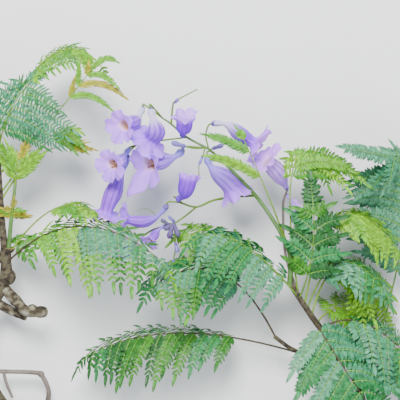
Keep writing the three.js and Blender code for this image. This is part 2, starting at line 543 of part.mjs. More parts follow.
// Whether a shape comes nearer than the clearance to any finished solid
function crowds(shape) {
  const box = shape.boundingBox();
  for (const body of placed.values()) {
    const other = body.boundingBox();
    const apart = [0, 1, 2].some(
      (k) => box.min[k] > other.max[k] + GAP || other.min[k] > box.max[k] + GAP,
    );
    if (!apart && shape.minGap(body, GAP) < GAP) return true;
  }
  return false;
}

// Limbs
const knot = ([x, y, z, radius], grow) => {
  return solid(new THREE.IcosahedronGeometry(radius + grow, 0).translate(x, y, z));
};
for (const { name, seat, points, radii, knots = [], finish = "bark" } of LIMBS) {
  const [shape, larger] = [0, GAP].map((grow) => {
    return knots.reduce((body, at) => body.add(knot(at, grow)), limb(points, radii, grow));
  });
  place(name, seat ? shape.subtract(grown.get(seat)) : shape, finish);
  grown.set(name, larger);
}

// Flower stems, with a curved stalk to each flower's foot
for (const [name, { seat, parts, buds }] of Object.entries(STALKS)) {
  const [shape, larger] = [0, GAP].map((grow) => {
    const stems = parts.map(({ points, radii }) => limb(points, radii, grow, STEM_SIDES));
    const bulbs = buds.map((item) => bud({ ...item, grow }));
    const pedicels = FLOWERS.filter(({ stalk }) => stalk === name).map((flower) => {
      const aim = vec(flower.aim).normalize();
      const foot = vec(flower.base).addScaledVector(aim, -GAP);
      const before = foot.clone().addScaledVector(aim, -PEDICEL_TIP);
      const points = [flower.fork, ...(flower.via ?? []), before.toArray(), foot.toArray()];
      return limb(points, [PEDICEL_RADIUS, PEDICEL_RADIUS], grow, PEDICEL_SIDES);
    });
    return [...stems, ...bulbs, ...pedicels].reduce((body, piece) => body.add(piece));
  });
  place(name, shape.subtract(grown.get(seat)), "green_stem");
  grown.set(name, larger);
}

// Flowers
for (const flower of FLOWERS) {
  place(flower.name, trumpet(flower).subtract(grown.get(flower.stalk)), "petal");
}

// Leaves. A pinna that would crowd a finished piece is turned a little, or else left out.
const TURNS = [0, 0.3, -0.3, 0.6, -0.6];
LEAVES.forEach((entry, index) => {
  const leaf = { ...entry, seed: 101 + 37 * index };
  const stalkAt = (t) => STALK_RADIUS * mix(1, STALK_TAPER, t);
  const steps = Math.max(3, Math.round(leafPath(leaf).getLength() / LIMB_STEP));
  const facing = vec(leaf.facing).normalize();
  const stalk = bentBar(leafPath(leaf), stalkAt, STALK_SIDES, steps, facing);
  const blades = [stalk.subtract(grown.get(leaf.seat))];
  const width = PINNA_WIDTH * (leaf.tint === "mature" ? 1 : YOUNG_WIDTH);
  for (const { base, outward, length, up, droop } of leafPinnae(leaf)) {
    for (const turn of TURNS) {
      const way = outward.clone().addScaledVector(up, turn).normalize();
      const path = pinnaPath(base, way, length, droop);
      const blade = pinnaBlade(path, length, width, up);
      if (crowds(blade)) continue;
      blades.push(blade);
      break;
    }
  }
  place(leaf.name, wasm.Manifold.union(blades), leaf.tint);
});

// The origin is under the middle of the branch, on the surface that it lies on
const box = new THREE.Box3().setFromObject(branch);
const middle = box.getCenter(new THREE.Vector3());
branch.position.set(-middle.x, -middle.y, -box.min.z);

export default branch;
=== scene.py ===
# %% [markdown]
# # A cut branch of a flowering jacaranda
# The branch lies on a pale surface and the camera looks straight down on it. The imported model
# gives every limb, flower and leaf as a plain solid. This lesson dresses each of them: bark on
# the wood, thin wavy petals on the flowers and rows of small leaflets on the leaves.

# %% Load the fixed frame
import json
import math
import random
import bpy
from mathutils import Matrix, Vector, noise


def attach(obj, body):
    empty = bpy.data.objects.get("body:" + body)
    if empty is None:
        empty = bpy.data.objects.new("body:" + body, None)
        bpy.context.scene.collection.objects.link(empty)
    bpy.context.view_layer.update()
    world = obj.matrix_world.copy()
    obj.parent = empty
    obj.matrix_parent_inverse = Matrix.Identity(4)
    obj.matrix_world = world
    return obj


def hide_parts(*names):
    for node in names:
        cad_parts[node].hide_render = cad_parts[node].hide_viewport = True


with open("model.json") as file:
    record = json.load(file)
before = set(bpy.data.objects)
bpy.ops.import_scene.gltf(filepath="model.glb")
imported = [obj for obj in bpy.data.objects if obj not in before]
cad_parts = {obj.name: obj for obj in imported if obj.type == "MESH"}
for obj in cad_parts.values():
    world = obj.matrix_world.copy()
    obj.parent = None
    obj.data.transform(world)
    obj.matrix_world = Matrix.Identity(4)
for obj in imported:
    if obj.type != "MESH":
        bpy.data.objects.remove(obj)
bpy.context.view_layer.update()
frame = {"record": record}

# %% [markdown]
# ## From the drawing to the frame
# The solids were drawn in millimetres about the middle of the picture, then moved so that the
# origin lies under the branch. The record's only mount sits at the middle of the bough's cut
# end, so its place tells how far everything was moved.

# %% Drawing units and places
MM = 0.001
CUT_END_DRAWN = Vector((185, -200, 7.5))
CUT_END = Vector(frame["record"]["mounts"][0]["pos_m"])


def in_frame(point):
    """A point of the drawing, in millimetres, as metres in the frame."""
    return CUT_END + (Vector(point) - CUT_END_DRAWN) * MM


def mix(a, b, t):
    return a + (b - a) * t


def swell(t, first, last, power):
    """Rises and falls along a length, as a leaf's width does."""
    return math.sin(math.pi * mix(first, last, t)) ** power


print("the drawing's middle lies at", [round(v, 4) for v in in_frame((0, 0, 0))])

# %% [markdown]
# ## The camera
# The photograph was taken with a long lens, so the camera stands far off and hardly any
# perspective shows. It looks straight down, because a cut branch with no stand lies flat.
# One pixel of the 400 x 400 picture is 0.8 mm of branch.

# %% Camera over the branch
PIXEL = 0.8
PICTURE_WIDTH = 400 * PIXEL * MM
LENS = 200
SENSOR = 36
FOCUS_HEIGHT = 50  # mm above the floor, about the middle of the branch

camera = bpy.data.objects.new("camera", bpy.data.cameras.new("camera"))
camera.data.lens = LENS
camera.data.sensor_width = SENSOR
camera.data.clip_end = 20
camera.location = in_frame((0, 0, FOCUS_HEIGHT))
camera.location.z += PICTURE_WIDTH * LENS / SENSOR
bpy.context.scene.collection.objects.link(camera)
bpy.context.scene.camera = camera
print("camera height", round(camera.location.z, 3), "m")

# %% [markdown]
# ## Light and floor
# A big soft lamp on the flower side stands for the open sky of the photograph, a weaker one
# fills from the other side, and a pale world fills the shadows. The floor is plain and pale,
# and it is not attached to the branch, so it is no part of it.

# %% Lamps and world
def soft_lamp(name, place, size, watts, colour):
    """A round lamp that faces the origin."""
    lamp = bpy.data.lights.new(name, "AREA")
    lamp.shape = "DISK"
    lamp.size = size
    lamp.energy = watts
    lamp.color = colour
    holder = bpy.data.objects.new(name, lamp)
    holder.location = place
    holder.rotation_euler = (-Vector(place)).to_track_quat("-Z", "Y").to_euler()
    bpy.context.scene.collection.objects.link(holder)


soft_lamp("sky_lamp", (-0.2, 0.9, 1.6), size=0.8, watts=82, colour=(1, 0.98, 0.95))
soft_lamp("fill_lamp", (0.8, -0.9, 1.3), size=1.2, watts=16, colour=(0.93, 0.96, 1))

world = bpy.data.worlds.new("pale_world")
world.use_nodes = True
background = world.node_tree.nodes["Background"]
background.inputs["Color"].default_value = (0.86, 0.92, 1, 1)
background.inputs["Strength"].default_value = 1.08
bpy.context.scene.world = world
print("sky lamp of", bpy.data.lights["sky_lamp"].energy, "W")


# %% Floor
FLOOR_SIZE = 6


def plain_mesh(name, points, faces, smooth=True):
    mesh = bpy.data.meshes.new(name)
    mesh.from_pydata(points, [], faces)
    mesh.update()
    if smooth:
        mesh.shade_smooth()
    return mesh


def add_object(name, mesh):
    piece = bpy.data.objects.new(name, mesh)
    bpy.context.scene.collection.objects.link(piece)
    return piece


half = FLOOR_SIZE / 2
corners = [(-half, -half, 0), (half, -half, 0), (half, half, 0), (-half, half, 0)]
floor = add_object("floor", plain_mesh("floor", corners, [(0, 1, 2, 3)], smooth=False))
print("floor", FLOOR_SIZE, "m wide")

# %% [markdown]
# ## Finishes
# Every finish is one Principled shader. A colour may vary by a noise that reads Object
# coordinates, or along a petal by its own UV map, and a fine bump breaks the gloss.
# The numbers are given as they would be read off a screen and turned to linear light.

# %% Colours read off a screen
# Bright light pales a colour in the picture, so each is made purer and darker.
PURER, DARKER = 1.75, 0.53
BLACKEST = 0.004
LUMINANCE = (0.2126, 0.7152, 0.0722)


def screen_colour(red, green, blue, bright=1):
    """A colour read off a screen, 0 to 255, as the linear colour of a surface."""
    linear = [((v / 255 + 0.055) / 1.055) ** 2.4 for v in (red, green, blue)]
    grey = sum(weight * v for weight, v in zip(LUMINANCE, linear))
    return tuple(min(1, max(BLACKEST, (grey + (v - grey) * PURER) * DARKER * bright)) for v in linear)


print("screen white as a surface", [round(v, 2) for v in screen_colour(255, 255, 255)])


# %% A class for finishes
class Finish:
    """A material with one Principled shader and short ways to feed it."""

    def __init__(self, name, rough, gloss=0.5, bright=1):
        self.bright = bright
        self.material = bpy.data.materials.new(name)
        self.material.use_nodes = True
        self.nodes = self.material.node_tree.nodes
        self.links = self.material.node_tree.links
        self.shader = self.nodes["Principled BSDF"]
        self.shader.inputs["Roughness"].default_value = rough
        self.shader.inputs["Specular IOR Level"].default_value = gloss

    def node(self, kind, **values):
        """A new node. A value may be a number, a colour or another node's output."""
        made = self.nodes.new(kind)
        for key, value in values.items():
            if hasattr(made, key):
                setattr(made, key, value)
            else:
                self.feed(made.inputs[key.replace("_", " ").title()], value)
        return made

    def feed(self, socket, value):
        if isinstance(value, bpy.types.NodeSocket):
            self.links.new(value, socket)
        else:
            socket.default_value = value

    def maths(self, operation, *values):
        made = self.nodes.new("ShaderNodeMath")
        made.operation = operation
        for socket, value in zip(made.inputs, values):
            self.feed(socket, value)
        return made.outputs[0]

    def times(self, *values):
        return self.maths("MULTIPLY", *values)

    def ramp(self, factor, stops):
        """A colour that changes along a factor, through stops of place and screen colour."""
        made = self.nodes.new("ShaderNodeValToRGB")
        self.feed(made.inputs["Fac"], factor)
        points = made.color_ramp.elements
        while len(points) < len(stops):
            points.new(0.5)
        for point, (place, colour) in zip(points, stops):
            point.position = place
            point.color = (*screen_colour(*colour, self.bright), 1)
        return made.outputs["Color"]

    def blend(self, factor, first, second):
        made = self.nodes.new("ShaderNodeMix")
        made.data_type = "RGBA"
        self.feed(made.inputs["Factor"], factor)
        self.feed(made.inputs["A"], first)
        self.feed(made.inputs["B"], second)
        return made.outputs["Result"]

    def place_on_object(self):
        return self.node("ShaderNodeTexCoord").outputs["Object"]

    def span(self, value, low, high):
        """0 where the value is low, 1 where it is high, and even between."""
        return self.node("ShaderNodeMapRange", value=value, from_min=low, from_max=high).outputs[0]

    def speckle(self, scale, detail=2, vector=None):
        made = self.node("ShaderNodeTexNoise", scale=scale, detail=detail)
        self.links.new(vector or self.place_on_object(), made.inputs["Vector"])
        return made.outputs["Fac"]

    def bump(self, height, strength, distance):
        made = self.nodes.new("ShaderNodeBump")
        made.inputs["Strength"].default_value = strength
        made.inputs["Distance"].default_value = distance
        self.links.new(height, made.inputs["Height"])
        self.links.new(made.outputs["Normal"], self.shader.inputs["Normal"])

    def colour(self, value):
        self.feed(self.shader.inputs["Base Color"], value)


# %% Mottled finishes and the floor's
def mottled(name, rough, gloss, grain, stops, bump=None):
    """A finish whose colour runs through stops along one noise, with a finer noise as bump."""
    finish = Finish(name, rough, gloss)
    finish.colour(finish.ramp(finish.speckle(*grain), stops))
    if bump:
        scale, detail, strength, distance = bump
        finish.bump(finish.speckle(scale, detail), strength, distance)
    return finish


floor_finish = Finish("pale_floor", 0.9, 0.2)
floor_finish.colour((0.68, 0.69, 0.68, 1))
floor.data.materials.append(floor_finish.material)
print("made", floor_finish.material.name)

# %% [markdown]
# ## Curves
# A limb runs through a few points as a smooth curve, and a leaf stalk bows once between its
# ends. Both are written here again just as the solids' source has them, as small functions of
# a share from 0 to 1. A frame along the curve then tells forward, sideways and up.

# %% Curves and the directions along them
def smooth_curve(points):
    """A smooth curve through all the points, as a function of a share from 0 to 1."""
    spots = [Vector(point) for point in points]
    knots = [2 * spots[0] - spots[1], *spots, 2 * spots[-1] - spots[-2]]

    def at(t):
        place = min(max(t, 0), 1) * (len(spots) - 1)
        i = min(int(place), len(spots) - 2)
        w = place - i
        a, b, c, d = knots[i : i + 4]
        return b + 0.5 * w * (c - a + w * (2 * a - 5 * b + 4 * c - d + w * (3 * (b - c) + d - a)))

    return at


def bow(start, control, end):
    """A curve from start to end that is drawn towards control on its way."""
    return lambda t: (1 - t) ** 2 * start + 2 * t * (1 - t) * control + t * t * end


STEP = 0.001  # share of a curve to either side of a place, which gives its direction


def frame_at(curve, t, facing):
    """A place on a curve, with the directions forward, sideways and up there."""
    forward = (curve(min(1, t + STEP)) - curve(max(0, t - STEP))).normalized()
    side = forward.cross(facing).normalized()
    return curve(t), forward, side, side.cross(forward).normalized()


def spoke(side, up, angle):
    """The way out from a curve, turned by an angle from up."""
    return side * math.sin(angle) + up * math.cos(angle)


def curve_length(curve, steps=40):
    spots = [curve(i / steps) for i in range(steps + 1)]
    return sum((b - a).length for a, b in zip(spots, spots[1:]))


corner = bow(Vector((1, 0, 0)), Vector((1, 1, 0)), Vector((0, 1, 0)))
print("a bow round a corner is", round(curve_length(corner), 2), "long")

# %% [markdown]
# ## Wood
# The limbs are grey-brown bark with long shallow furrows and swollen knots, and two old stubs
# have gone pale where they were pruned. A tube with a picture of bark on it would show a smooth
# edge, so each limb is a fine net of rings whose radius is pushed in and out by noise. The
# noise is drawn out along the limb, which makes furrows. Knots push the net outwards.

# %% The limbs' places
# Radii in mm at the first and the last point, how rough the bark is, and knots as a place and
# a radius. A dome is how far the rounded end of a stub stands out.
LIMBS = {
    "bough": dict(
        radii=(7.5, 5.5), rough=0.05,
        points=[(185, -200, 7.5), (120, -200, 7.5), (40, -197, 6.6), (-60, -196, 6), (-130, -182, 5.5)]),
    "left_limb": dict(
        radii=(5.4, 4.6), rough=0.12,
        points=[(-124, -184, 6), (-158, -171, 9), (-177, -132, 19), (-171, -92, 28),
                (-158, -66, 34), (-156, -38, 38)],
        knots=[(-155, -62, 36, 7), (-158, -46, 35, 6.4), (-153.5, -38, 39, 5.4), (-174, -112, 24, 6.4)]),
    "pruned_stub_upper": dict(
        radii=(4.4, 4.7), rough=0.22, pale=True, dome=3.2,
        points=[(-157, -72, 34), (-148, -82, 37), (-140, -89, 38), (-125.6, -90.4, 38)],
        knots=[(-128.6, -90.2, 38, 5.5), (-135, -88, 38.4, 5), (-149, -81, 37, 5.2)]),
    "pruned_stub_lower": dict(
        radii=(4, 3.4), rough=0.2, pale=True, dome=1.2,
        points=[(-166, -82, 30), (-153, -90, 27), (-141, -94.6, 26)]),
    "left_stem": dict(
        radii=(3.4, 1.6), rough=0.05,
        points=[(-157, -42, 38), (-159, -20, 41), (-161, 20, 46), (-161, 64, 56)]),
    "bare_twig": dict(
        radii=(2.2, 1.8), rough=0.1,
        points=[(-152, -175, 9), (-129, -170, 12), (-123.4, -157, 15), (-128.6, -143.4, 17),
                (-134, -140.6, 17.4), (-165, -139.6, 18)],
        knots=[(-129.4, -142, 17.2, 2.9)]),
    "bare_spur": dict(
        radii=(1.5, 1.1), rough=0.08, points=[(-160, -139.6, 18), (-157.6, -150, 17), (-153, -161, 16)]),
    "right_stem": dict(
        radii=(3.6, 2.3), rough=0.06,
        points=[(136, -200, 7), (131, -160, 22), (117, -124, 33), (96, -102, 39), (72, -67, 46)]),
    "side_shoot": dict(
        radii=(2.2, 1.6), rough=0.05,
        points=[(119, -128, 32), (95, -128, 24), (75, -121, 27), (60, -110.4, 30)]),
    "bare_stalk": dict(
        radii=(1.3, 0.8), rough=0.03,
        points=[(80, -80, 43), (69, -44, 36), (67, -12, 35), (67.4, 0, 38), (70.2, 8.1, 42.8)]),
}
print(len(LIMBS), "limbs")

# %% The net of one limb
RING_STEP = 1.6  # mm from one ring to the next
SIDES = 26  # points in each ring
# The relief's middle lies a little inside the solid, because its ridges stand out.
SUNK, KNOT_SUNK = 0.97, 0.94
UPWARD = Vector((0, 0, 1))
DOME_TURNS = (0.5, 0.9, 1.25)  # radians from the side of a rounded end towards its tip


def bark_height(angle, along, radius):
    """How far bark stands out, about -1 to 1: long furrows, short scales and broad lumps."""
    x, y = math.cos(angle) * radius, math.sin(angle) * radius
    furrows = noise.noise(Vector((x * 0.7, y * 0.7, along * 0.09)))
    scales = noise.noise(Vector((x * 1.1 + 20, y * 1.1, along * 0.5)))
    lumps = noise.noise(Vector((x * 0.15, y * 0.15 + 9, along * 0.07)))
    return 0.55 * furrows + 0.3 * scales + 0.9 * lumps


def limb_mesh(name, points, radii, rough, knots=(), dome=0):
    """Rings of bark round a limb's middle line, closed by a flat or a rounded end."""
    curve = smooth_curve(points)
    length = curve_length(curve)
    rings = max(6, round(length / RING_STEP))
    spots, faces = [], []
    sections = [(i / rings, 0, 1) for i in range(rings + 1)]
    if dome:
        sections += [(1, dome * math.sin(turn), math.cos(turn)) for turn in DOME_TURNS]
    for t, ahead, shrink in sections:
        middle, forward, side, up = frame_at(curve, t, UPWARD)
        middle = middle + forward * ahead
        radius = mix(*radii, t) * shrink
        for k in range(SIDES):
            angle = math.tau * k / SIDES
            out = spoke(side, up, angle)
            height = bark_height(angle, t * length + ahead, radius)
            spot = middle + out * radius * (SUNK + rough * height)
            for x, y, z, size in knots:
                away = spot - Vector((x, y, z))
                push = size * (KNOT_SUNK + 0.5 * rough * height)
                if away.length < push:
                    spot = Vector((x, y, z)) + away.normalized() * push
            spots.append(spot)
    last = len(sections) - 1
    for i in range(last):
        for k in range(SIDES):
            a, b = i * SIDES + k, i * SIDES + (k + 1) % SIDES
            faces.append((a, a + SIDES, b + SIDES, b))
    tip = curve(1) + frame_at(curve, 1, UPWARD)[1] * dome
    for ring, end, turn in ((0, curve(0), 1), (last, tip, -1)):
        middle = len(spots)
        spots.append(end)
        edge = [ring * SIDES + k for k in range(SIDES)]
        faces += [(middle, *(edge[k], edge[(k + 1) % SIDES])[::turn]) for k in range(SIDES)]
    mesh = plain_mesh(name, [in_frame(spot) for spot in spots], faces)
    for polygon in list(mesh.polygons)[-2 * SIDES :]:
        polygon.material_index = 1
        polygon.use_smooth = False
    return mesh


# %% Bark finishes and every limb
bark = mottled("bark", 0.85, 0.3, (220, 5), [
    (0.28, (26, 22, 20)), (0.42, (60, 55, 48)), (0.56, (104, 99, 88)), (0.72, (90, 96, 74)),
], (900, 6, 0.6, 0.0006))
# The stubs' wood is pale from weathering, and its colours are also set darker overall as painted shade.
pale_wood_and_shade = mottled("weathered_wood_and_shade", 0.8, 0.3, (160, 5), [
    (0.3, (34, 30, 26)), (0.41, (80, 74, 64)), (0.52, (134, 130, 118)), (0.7, (182, 180, 170)),
], (700, 6, 0.6, 0.0006))
cut_wood = mottled("cut_wood", 0.75, 0.3, (350, 4), [
    (0.35, (150, 128, 98)), (0.65, (196, 178, 146)),
], (1500, 3, 0.4, 0.0003))
mauve_bark = mottled("mauve_bark", 0.6, 0.4, (90, 3), [
    (0.35, (104, 98, 92)), (0.6, (142, 134, 130)), (0.8, (116, 118, 98))])

for name, limb in LIMBS.items():
    pale = limb.pop("pale", False)
    mesh = limb_mesh(f"{name}_bark", **limb)
    skin = pale_wood_and_shade if pale else mauve_bark if name.startswith("bare") else bark
    mesh.materials.append(skin.material)
    mesh.materials.append((pale_wood_and_shade if pale else cut_wood).material)
    piece = add_object(f"{name}_bark", mesh)
    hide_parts(name)
    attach(piece, "root")
    print(name, len(mesh.polygons), "faces")

# %% [markdown]
# ## Threads
# Leaf stalks, ribs, flower stalks and stamens are all thin round threads. Each is first a row of
# points with a thickness. Geometry Nodes then makes a row a curve, sweeps a circle along it,
# scales the circle by the thickness and gives the finish. One tree serves every thread.

# %% Helpers for node trees
def new_tree(name, **inputs):
    """An empty tree that takes a geometry and the named inputs, with its two end nodes."""
    tree = bpy.data.node_groups.new(name, "GeometryNodeTree")
    for label, kind in {"Geometry": "Geometry", **inputs}.items():
        tree.interface.new_socket(label, in_out="INPUT", socket_type=f"NodeSocket{kind}")
    tree.interface.new_socket("Geometry", in_out="OUTPUT", socket_type="NodeSocketGeometry")
    return tree, tree.nodes.new("NodeGroupInput"), tree.nodes.new("NodeGroupOutput")


def add_nodes(tree, *kinds):
    return [tree.nodes.new(f"GeometryNode{kind}") for kind in kinds]


def stored(tree, name, kind):
    """A node that reads a named attribute of the points."""
    made = tree.nodes.new("GeometryNodeInputNamedAttribute")
    made.data_type = kind
    made.inputs["Name"].default_value = name
    return made


def wire(tree, *links):
    """Joins nodes. A link is a node and its output, then a node and its input."""
    for source, output, target, entry in links:
        tree.links.new(source.outputs[output], target.inputs[entry])


def baked(holder):
    """What an object's modifiers make of it, as a mesh of its own."""
    evaluated = holder.evaluated_get(bpy.context.evaluated_depsgraph_get())
    return bpy.data.meshes.new_from_object(evaluated)


def run_tree(name, source, tree, values):
    """Runs a tree on a mesh and gives what it makes as a plain object."""
    holder = add_object(f"{name}_source", source)
    modifier = holder.modifiers.new("nodes", "NODES")
    modifier.node_group = tree
    for item in tree.interface.items_tree:
        if item.in_out == "INPUT" and item.name in values:
            modifier[item.identifier] = values[item.name]
    mesh = baked(holder)
    mesh.name = name
    holder.modifiers.remove(modifier)
    bpy.data.objects.remove(holder)
    return add_object(name, mesh)


# %% Node tree: a round skin on rows of points
thread_tree, start, end = new_tree("threads", Sides="Int", Finish="Material")
to_curve, circle, sweep, smooth, realise, paint = add_nodes(
    thread_tree, "MeshToCurve", "CurvePrimitiveCircle", "CurveToMesh", "SetShadeSmooth",
    "RealizeInstances", "SetMaterial")
circle.inputs["Radius"].default_value = 1
sweep.inputs["Fill Caps"].default_value = True
wire(
    thread_tree,
    (start, "Geometry", to_curve, "Mesh"),
    (start, "Sides", circle, "Resolution"),
    (to_curve, "Curve", sweep, "Curve"),
    (circle, "Curve", sweep, "Profile Curve"),
    (stored(thread_tree, "thickness", "FLOAT"), "Attribute", sweep, "Scale"),
    (sweep, "Mesh", smooth, "Geometry"),
    (smooth, "Geometry", realise, "Geometry"),
    (realise, "Geometry", paint, "Geometry"),
    (start, "Finish", paint, "Material"),
    (paint, "Geometry", end, "Geometry"),
)
print("the tree", thread_tree.name, "has", len(thread_tree.nodes), "nodes")


# %% Rows of points as threads
def threads(name, rows, sides, finish):
    """One object of many threads. A row is a list of drawn points and their radii in mm."""
    points, edges, radii = [], [], []
    for spots, thickness in rows:
        first = len(points)
        points += [in_frame(spot) for spot in spots]
        radii += [value * MM for value in thickness]
        edges += [(i, i + 1) for i in range(first, len(points) - 1)]
    mesh = bpy.data.meshes.new(name)
    mesh.from_pydata(points, edges, [])
    mesh.attributes.new("thickness", "FLOAT", "POINT").data.foreach_set("value", radii)
    return run_tree(name, mesh, thread_tree, {"Sides": sides, "Finish": finish.material})


def sampled(curve, step, first, last):
    """Points along a curve every few millimetres, with a radius that goes from first to last."""
    count = max(2, math.ceil(curve_length(curve, 12) / step))
    return (
        [curve(i / count) for i in range(count + 1)],
        [mix(first, last, i / count) for i in range(count + 1)],
    )


# %% [markdown]
# ## Flowers
# A jacaranda flower is a narrow neck that swells to a soft bell with a slightly flat belly, and
# ends in five round lobes with wavy edges. It could be turned on a lathe, but no two
# flowers are alike, so each is a net of rings along a bent middle line. Past the mouth the net
# rolls outwards over a length that differs from lobe to lobe, and a thin wall is added last.

# %% The flowers' places
# A flower's stalk leaves the stem at fork and goes by way of via. Its tube leaves base towards
# aim and ends at mouth, where it faces look with its upper side towards top. Size and girth
# scale it, a neck under 1 shortens its narrow part, and flare is the degrees by which its lobes
# roll out. Lobes gives their lengths, and pointed is the one lobe that ends in a point.
USUAL = dict(
    skin="violet", size=1, girth=1, neck=1, flare=65, lobes=(0.9, 1, 1.1, 1, 0.9), pointed=None)
FLOWERS = {
    "flower_01": dict(
        skin="pale_neck", fork=(-30, 65.5, 57), base=(-45.4, 74, 52), aim=(-0.3, -0.7, 0.6),
        mouth=(-59.6, 58.4, 76), look=(-0.68, -0.2, 0.7), top=(0.3, 1, 0.3), size=0.9,
        lobes=(0.9, 1.1, 1.2, 1, 0.85)),
    "flower_02": dict(
        skin="pale_neck", fork=(-30, 65.5, 57), base=(-39, 72.6, 69), aim=(0.1, -1, 0.1),
        mouth=(-38, 49, 70), look=(-0.6, -0.5, -0.62), top=(-0.4, 0.2, -1), girth=1.12),
    "flower_03": dict(
        skin="young", fork=(-10, 50, 56.5), base=(-13.8, 51.4, 60.4), aim=(0, 0.1, 1),
        mouth=(-12.2, 61.8, 74), look=(0.05, 0.9, 0.44), top=(0, 0.44, -0.9), size=0.72, girth=1.2,
        flare=26, lobes=(1.05, 0.7, 0.5, 0.7, 1.15)),
    "flower_04": dict(
        skin="lilac", fork=(-10, 50, 56), via=[(-36, 47, 46)], base=(-56.4, 41, 50),
        aim=(-0.5, -0.6, 0.6), mouth=(-68.8, 28, 69), look=(-0.62, -0.25, 0.74), top=(0.2, 1, 0.3),
        size=0.86, lobes=(0.9, 1, 1.15, 1.1, 0.9)),
    "flower_05": dict(
        skin="lilac", fork=(6, 41.4, 58), base=(-13.4, 40.4, 50), aim=(-0.6, -0.75, 0.2),
        mouth=(-39.6, 29, 60), look=(-0.72, -0.3, 0.62), top=(0.5, 0.85, 0.25), size=1.15,
        lobes=(0.75, 0.9, 2, 1.2, 0.8), pointed=2),
    "flower_06": dict(
        fork=(-46, 45, 46.2), via=[(-52, 43.4, 43)], base=(-58, 36, 42.5), aim=(-0.3, -0.9, 0.1),
        mouth=(-74, -8, 47), look=(-0.3, -0.93, -0.2), top=(-1, 0.1, 0.1), girth=1.15,
        lobes=(1.1, 0.9, 1.1, 1, 1)),
    "flower_07": dict(
        fork=(-16, -2, 50), base=(-26.4, -4, 52), aim=(-0.5, -0.85, 0), mouth=(-57, -16.6, 45.4),
        look=(-0.95, 0.2, 0.2), top=(0, 1, 0), girth=0.78, lobes=(1, 0.9, 0.8, 0.9, 1)),
    "flower_08": dict(
        skin="lilac", fork=(9, 38.5, 58), base=(5.8, 35.4, 59), aim=(0.05, -1, 0.1),
        mouth=(25, 11, 50), look=(0.55, -0.8, -0.2), top=(0.8, 0.55, 0.1), girth=1.2, flare=24,
        lobes=(1.1, 1, 1.1, 1.2, 1.1)),
    "flower_09": dict(
        skin="pale_neck", inside="pale_inside", fork=(7, 40.5, 58), via=[(4.6, 51, 58)],
        base=(9.6, 60.4, 58), aim=(0.9, 0.3, 0), mouth=(41, 45.4, 56), look=(0.84, -0.5, 0.1),
        top=(0.5, 0.85, 0.1), lobes=(1.35, 1.2, 1, 1.1, 1.2)),
    "flower_10": dict(
        skin="pink", inside="pale_inside", base=(70, 8.6, 43), aim=(-0.45, 0.85, 0.25),
        mouth=(54.4, 30, 60), look=(-0.6, 0.62, 0.5), top=(-0.5, 0.1, -0.8), size=0.82, girth=1.15,
        neck=0.5, lobes=(0.9, 1.1, 1, 1.2, 1)),
    "flower_11": dict(
        skin="young", fork=(-14, -2.4, 50), base=(-18.6, 1.6, 54), aim=(0.7, -0.3, 0.6),
        mouth=(-9.8, 14.6, 62), look=(0.2, 0.97, -0.1), top=(0, 0, -1), size=0.8, girth=1.15,
        flare=8, lobes=(0.85, 0.6, 0.5, 0.7, 0.9)),
    "flower_12": dict(
        fork=(-21, -19, 44), base=(-28.6, -20.6, 44), aim=(-0.8, -0.5, 0), mouth=(-39, -32, 46),
        look=(-0.5, -0.75, 0.4), top=(-0.3, 0.6, 0.6), size=0.55),
    "flower_13": dict(
        skin="young", fork=(-21, -19, 44), via=[(-38, -24, 33)], base=(-52, -34, 36),
        aim=(-0.7, -0.6, 0.4), mouth=(-61, -43, 43), look=(-0.6, -0.7, 0.4), top=(-0.3, 0.5, 0.7),
        size=0.6, flare=8, lobes=(0.5, 0.5, 0.5, 0.5, 0.5)),
    "flower_14": dict(
        skin="pink", base=(70.4, 4.2, 42), aim=(0.3, -0.9, 0.2), mouth=(77.8, -6, 43.6),
        look=(0.5, -0.8, 0.3), top=(0.5, 0.7, 0.3), size=0.66, flare=50,
        lobes=(0.8, 1, 1.3, 1.1, 0.9)),
}
FLOWERS = {name: {**USUAL, **flower} for name, flower in FLOWERS.items()}
print(len(FLOWERS), "flowers,", sum("fork" in flower for flower in FLOWERS.values()), "on a stalk")

# %% [markdown]
# The net of a flower has 14 columns for each lobe. The neck-to-mouth profile is a short table
# of radii, and the lobes' length falls to a notch between one lobe and the next. The UV map
# runs round the flower in its first number and from foot, 0, over mouth, 1, to rim, 2, in its
# second, so that stripes and the pale throat can follow the petal.

# %% A flower's profile and middle line
# Share of the tube's length, and the radius in mm there.
PROFILE = [(0, 1.4), (0.03, 2.2), (0.07, 2.7), (0.12, 2.8), (0.17, 2.5), (0.22, 2), (0.28, 2.1),
           (0.36, 2.9), (0.47, 4.5), (0.6, 6.1), (0.74, 6.9), (0.88, 7.2), (1, 7.3)]
TUBE_BOW = 0.42  # share of the tube's length that it runs straight on from each end


def profile_radius(along):
    for (low, a), (high, b) in zip(PROFILE, PROFILE[1:]):
        if along <= high:
            return mix(a, b, (along - low) / (high - low))
    return PROFILE[-1][1]


def tube_curve(flower):
    base, mouth = Vector(flower["base"]), Vector(flower["mouth"])
    span = (mouth - base).length * TUBE_BOW
    leave = base + Vector(flower["aim"]).normalized() * span
    arrive = mouth - Vector(flower["look"]).normalized() * span

    def at(t):
        r = 1 - t
        return r**3 * base + 3 * r * r * t * leave + 3 * r * t * t * arrive + t**3 * mouth

    return at


print("half-way up, a tube is", round(2 * profile_radius(0.5), 1), "mm thick")

# %% The tube's rings
LOBE_COLUMNS = 14
COLUMNS = 5 * LOBE_COLUMNS
TUBE_ROWS = 24
WIDE, HIGH = 1.05, 0.95  # the tube's section is slightly oval
PLEAT, CREASE = 0.035, 0.012  # depth of five broad pleats and of twenty fine ones
BELLY, PRESSED = 0.07, 0.28  # how flat the lower side is, and how much flatter near an open mouth


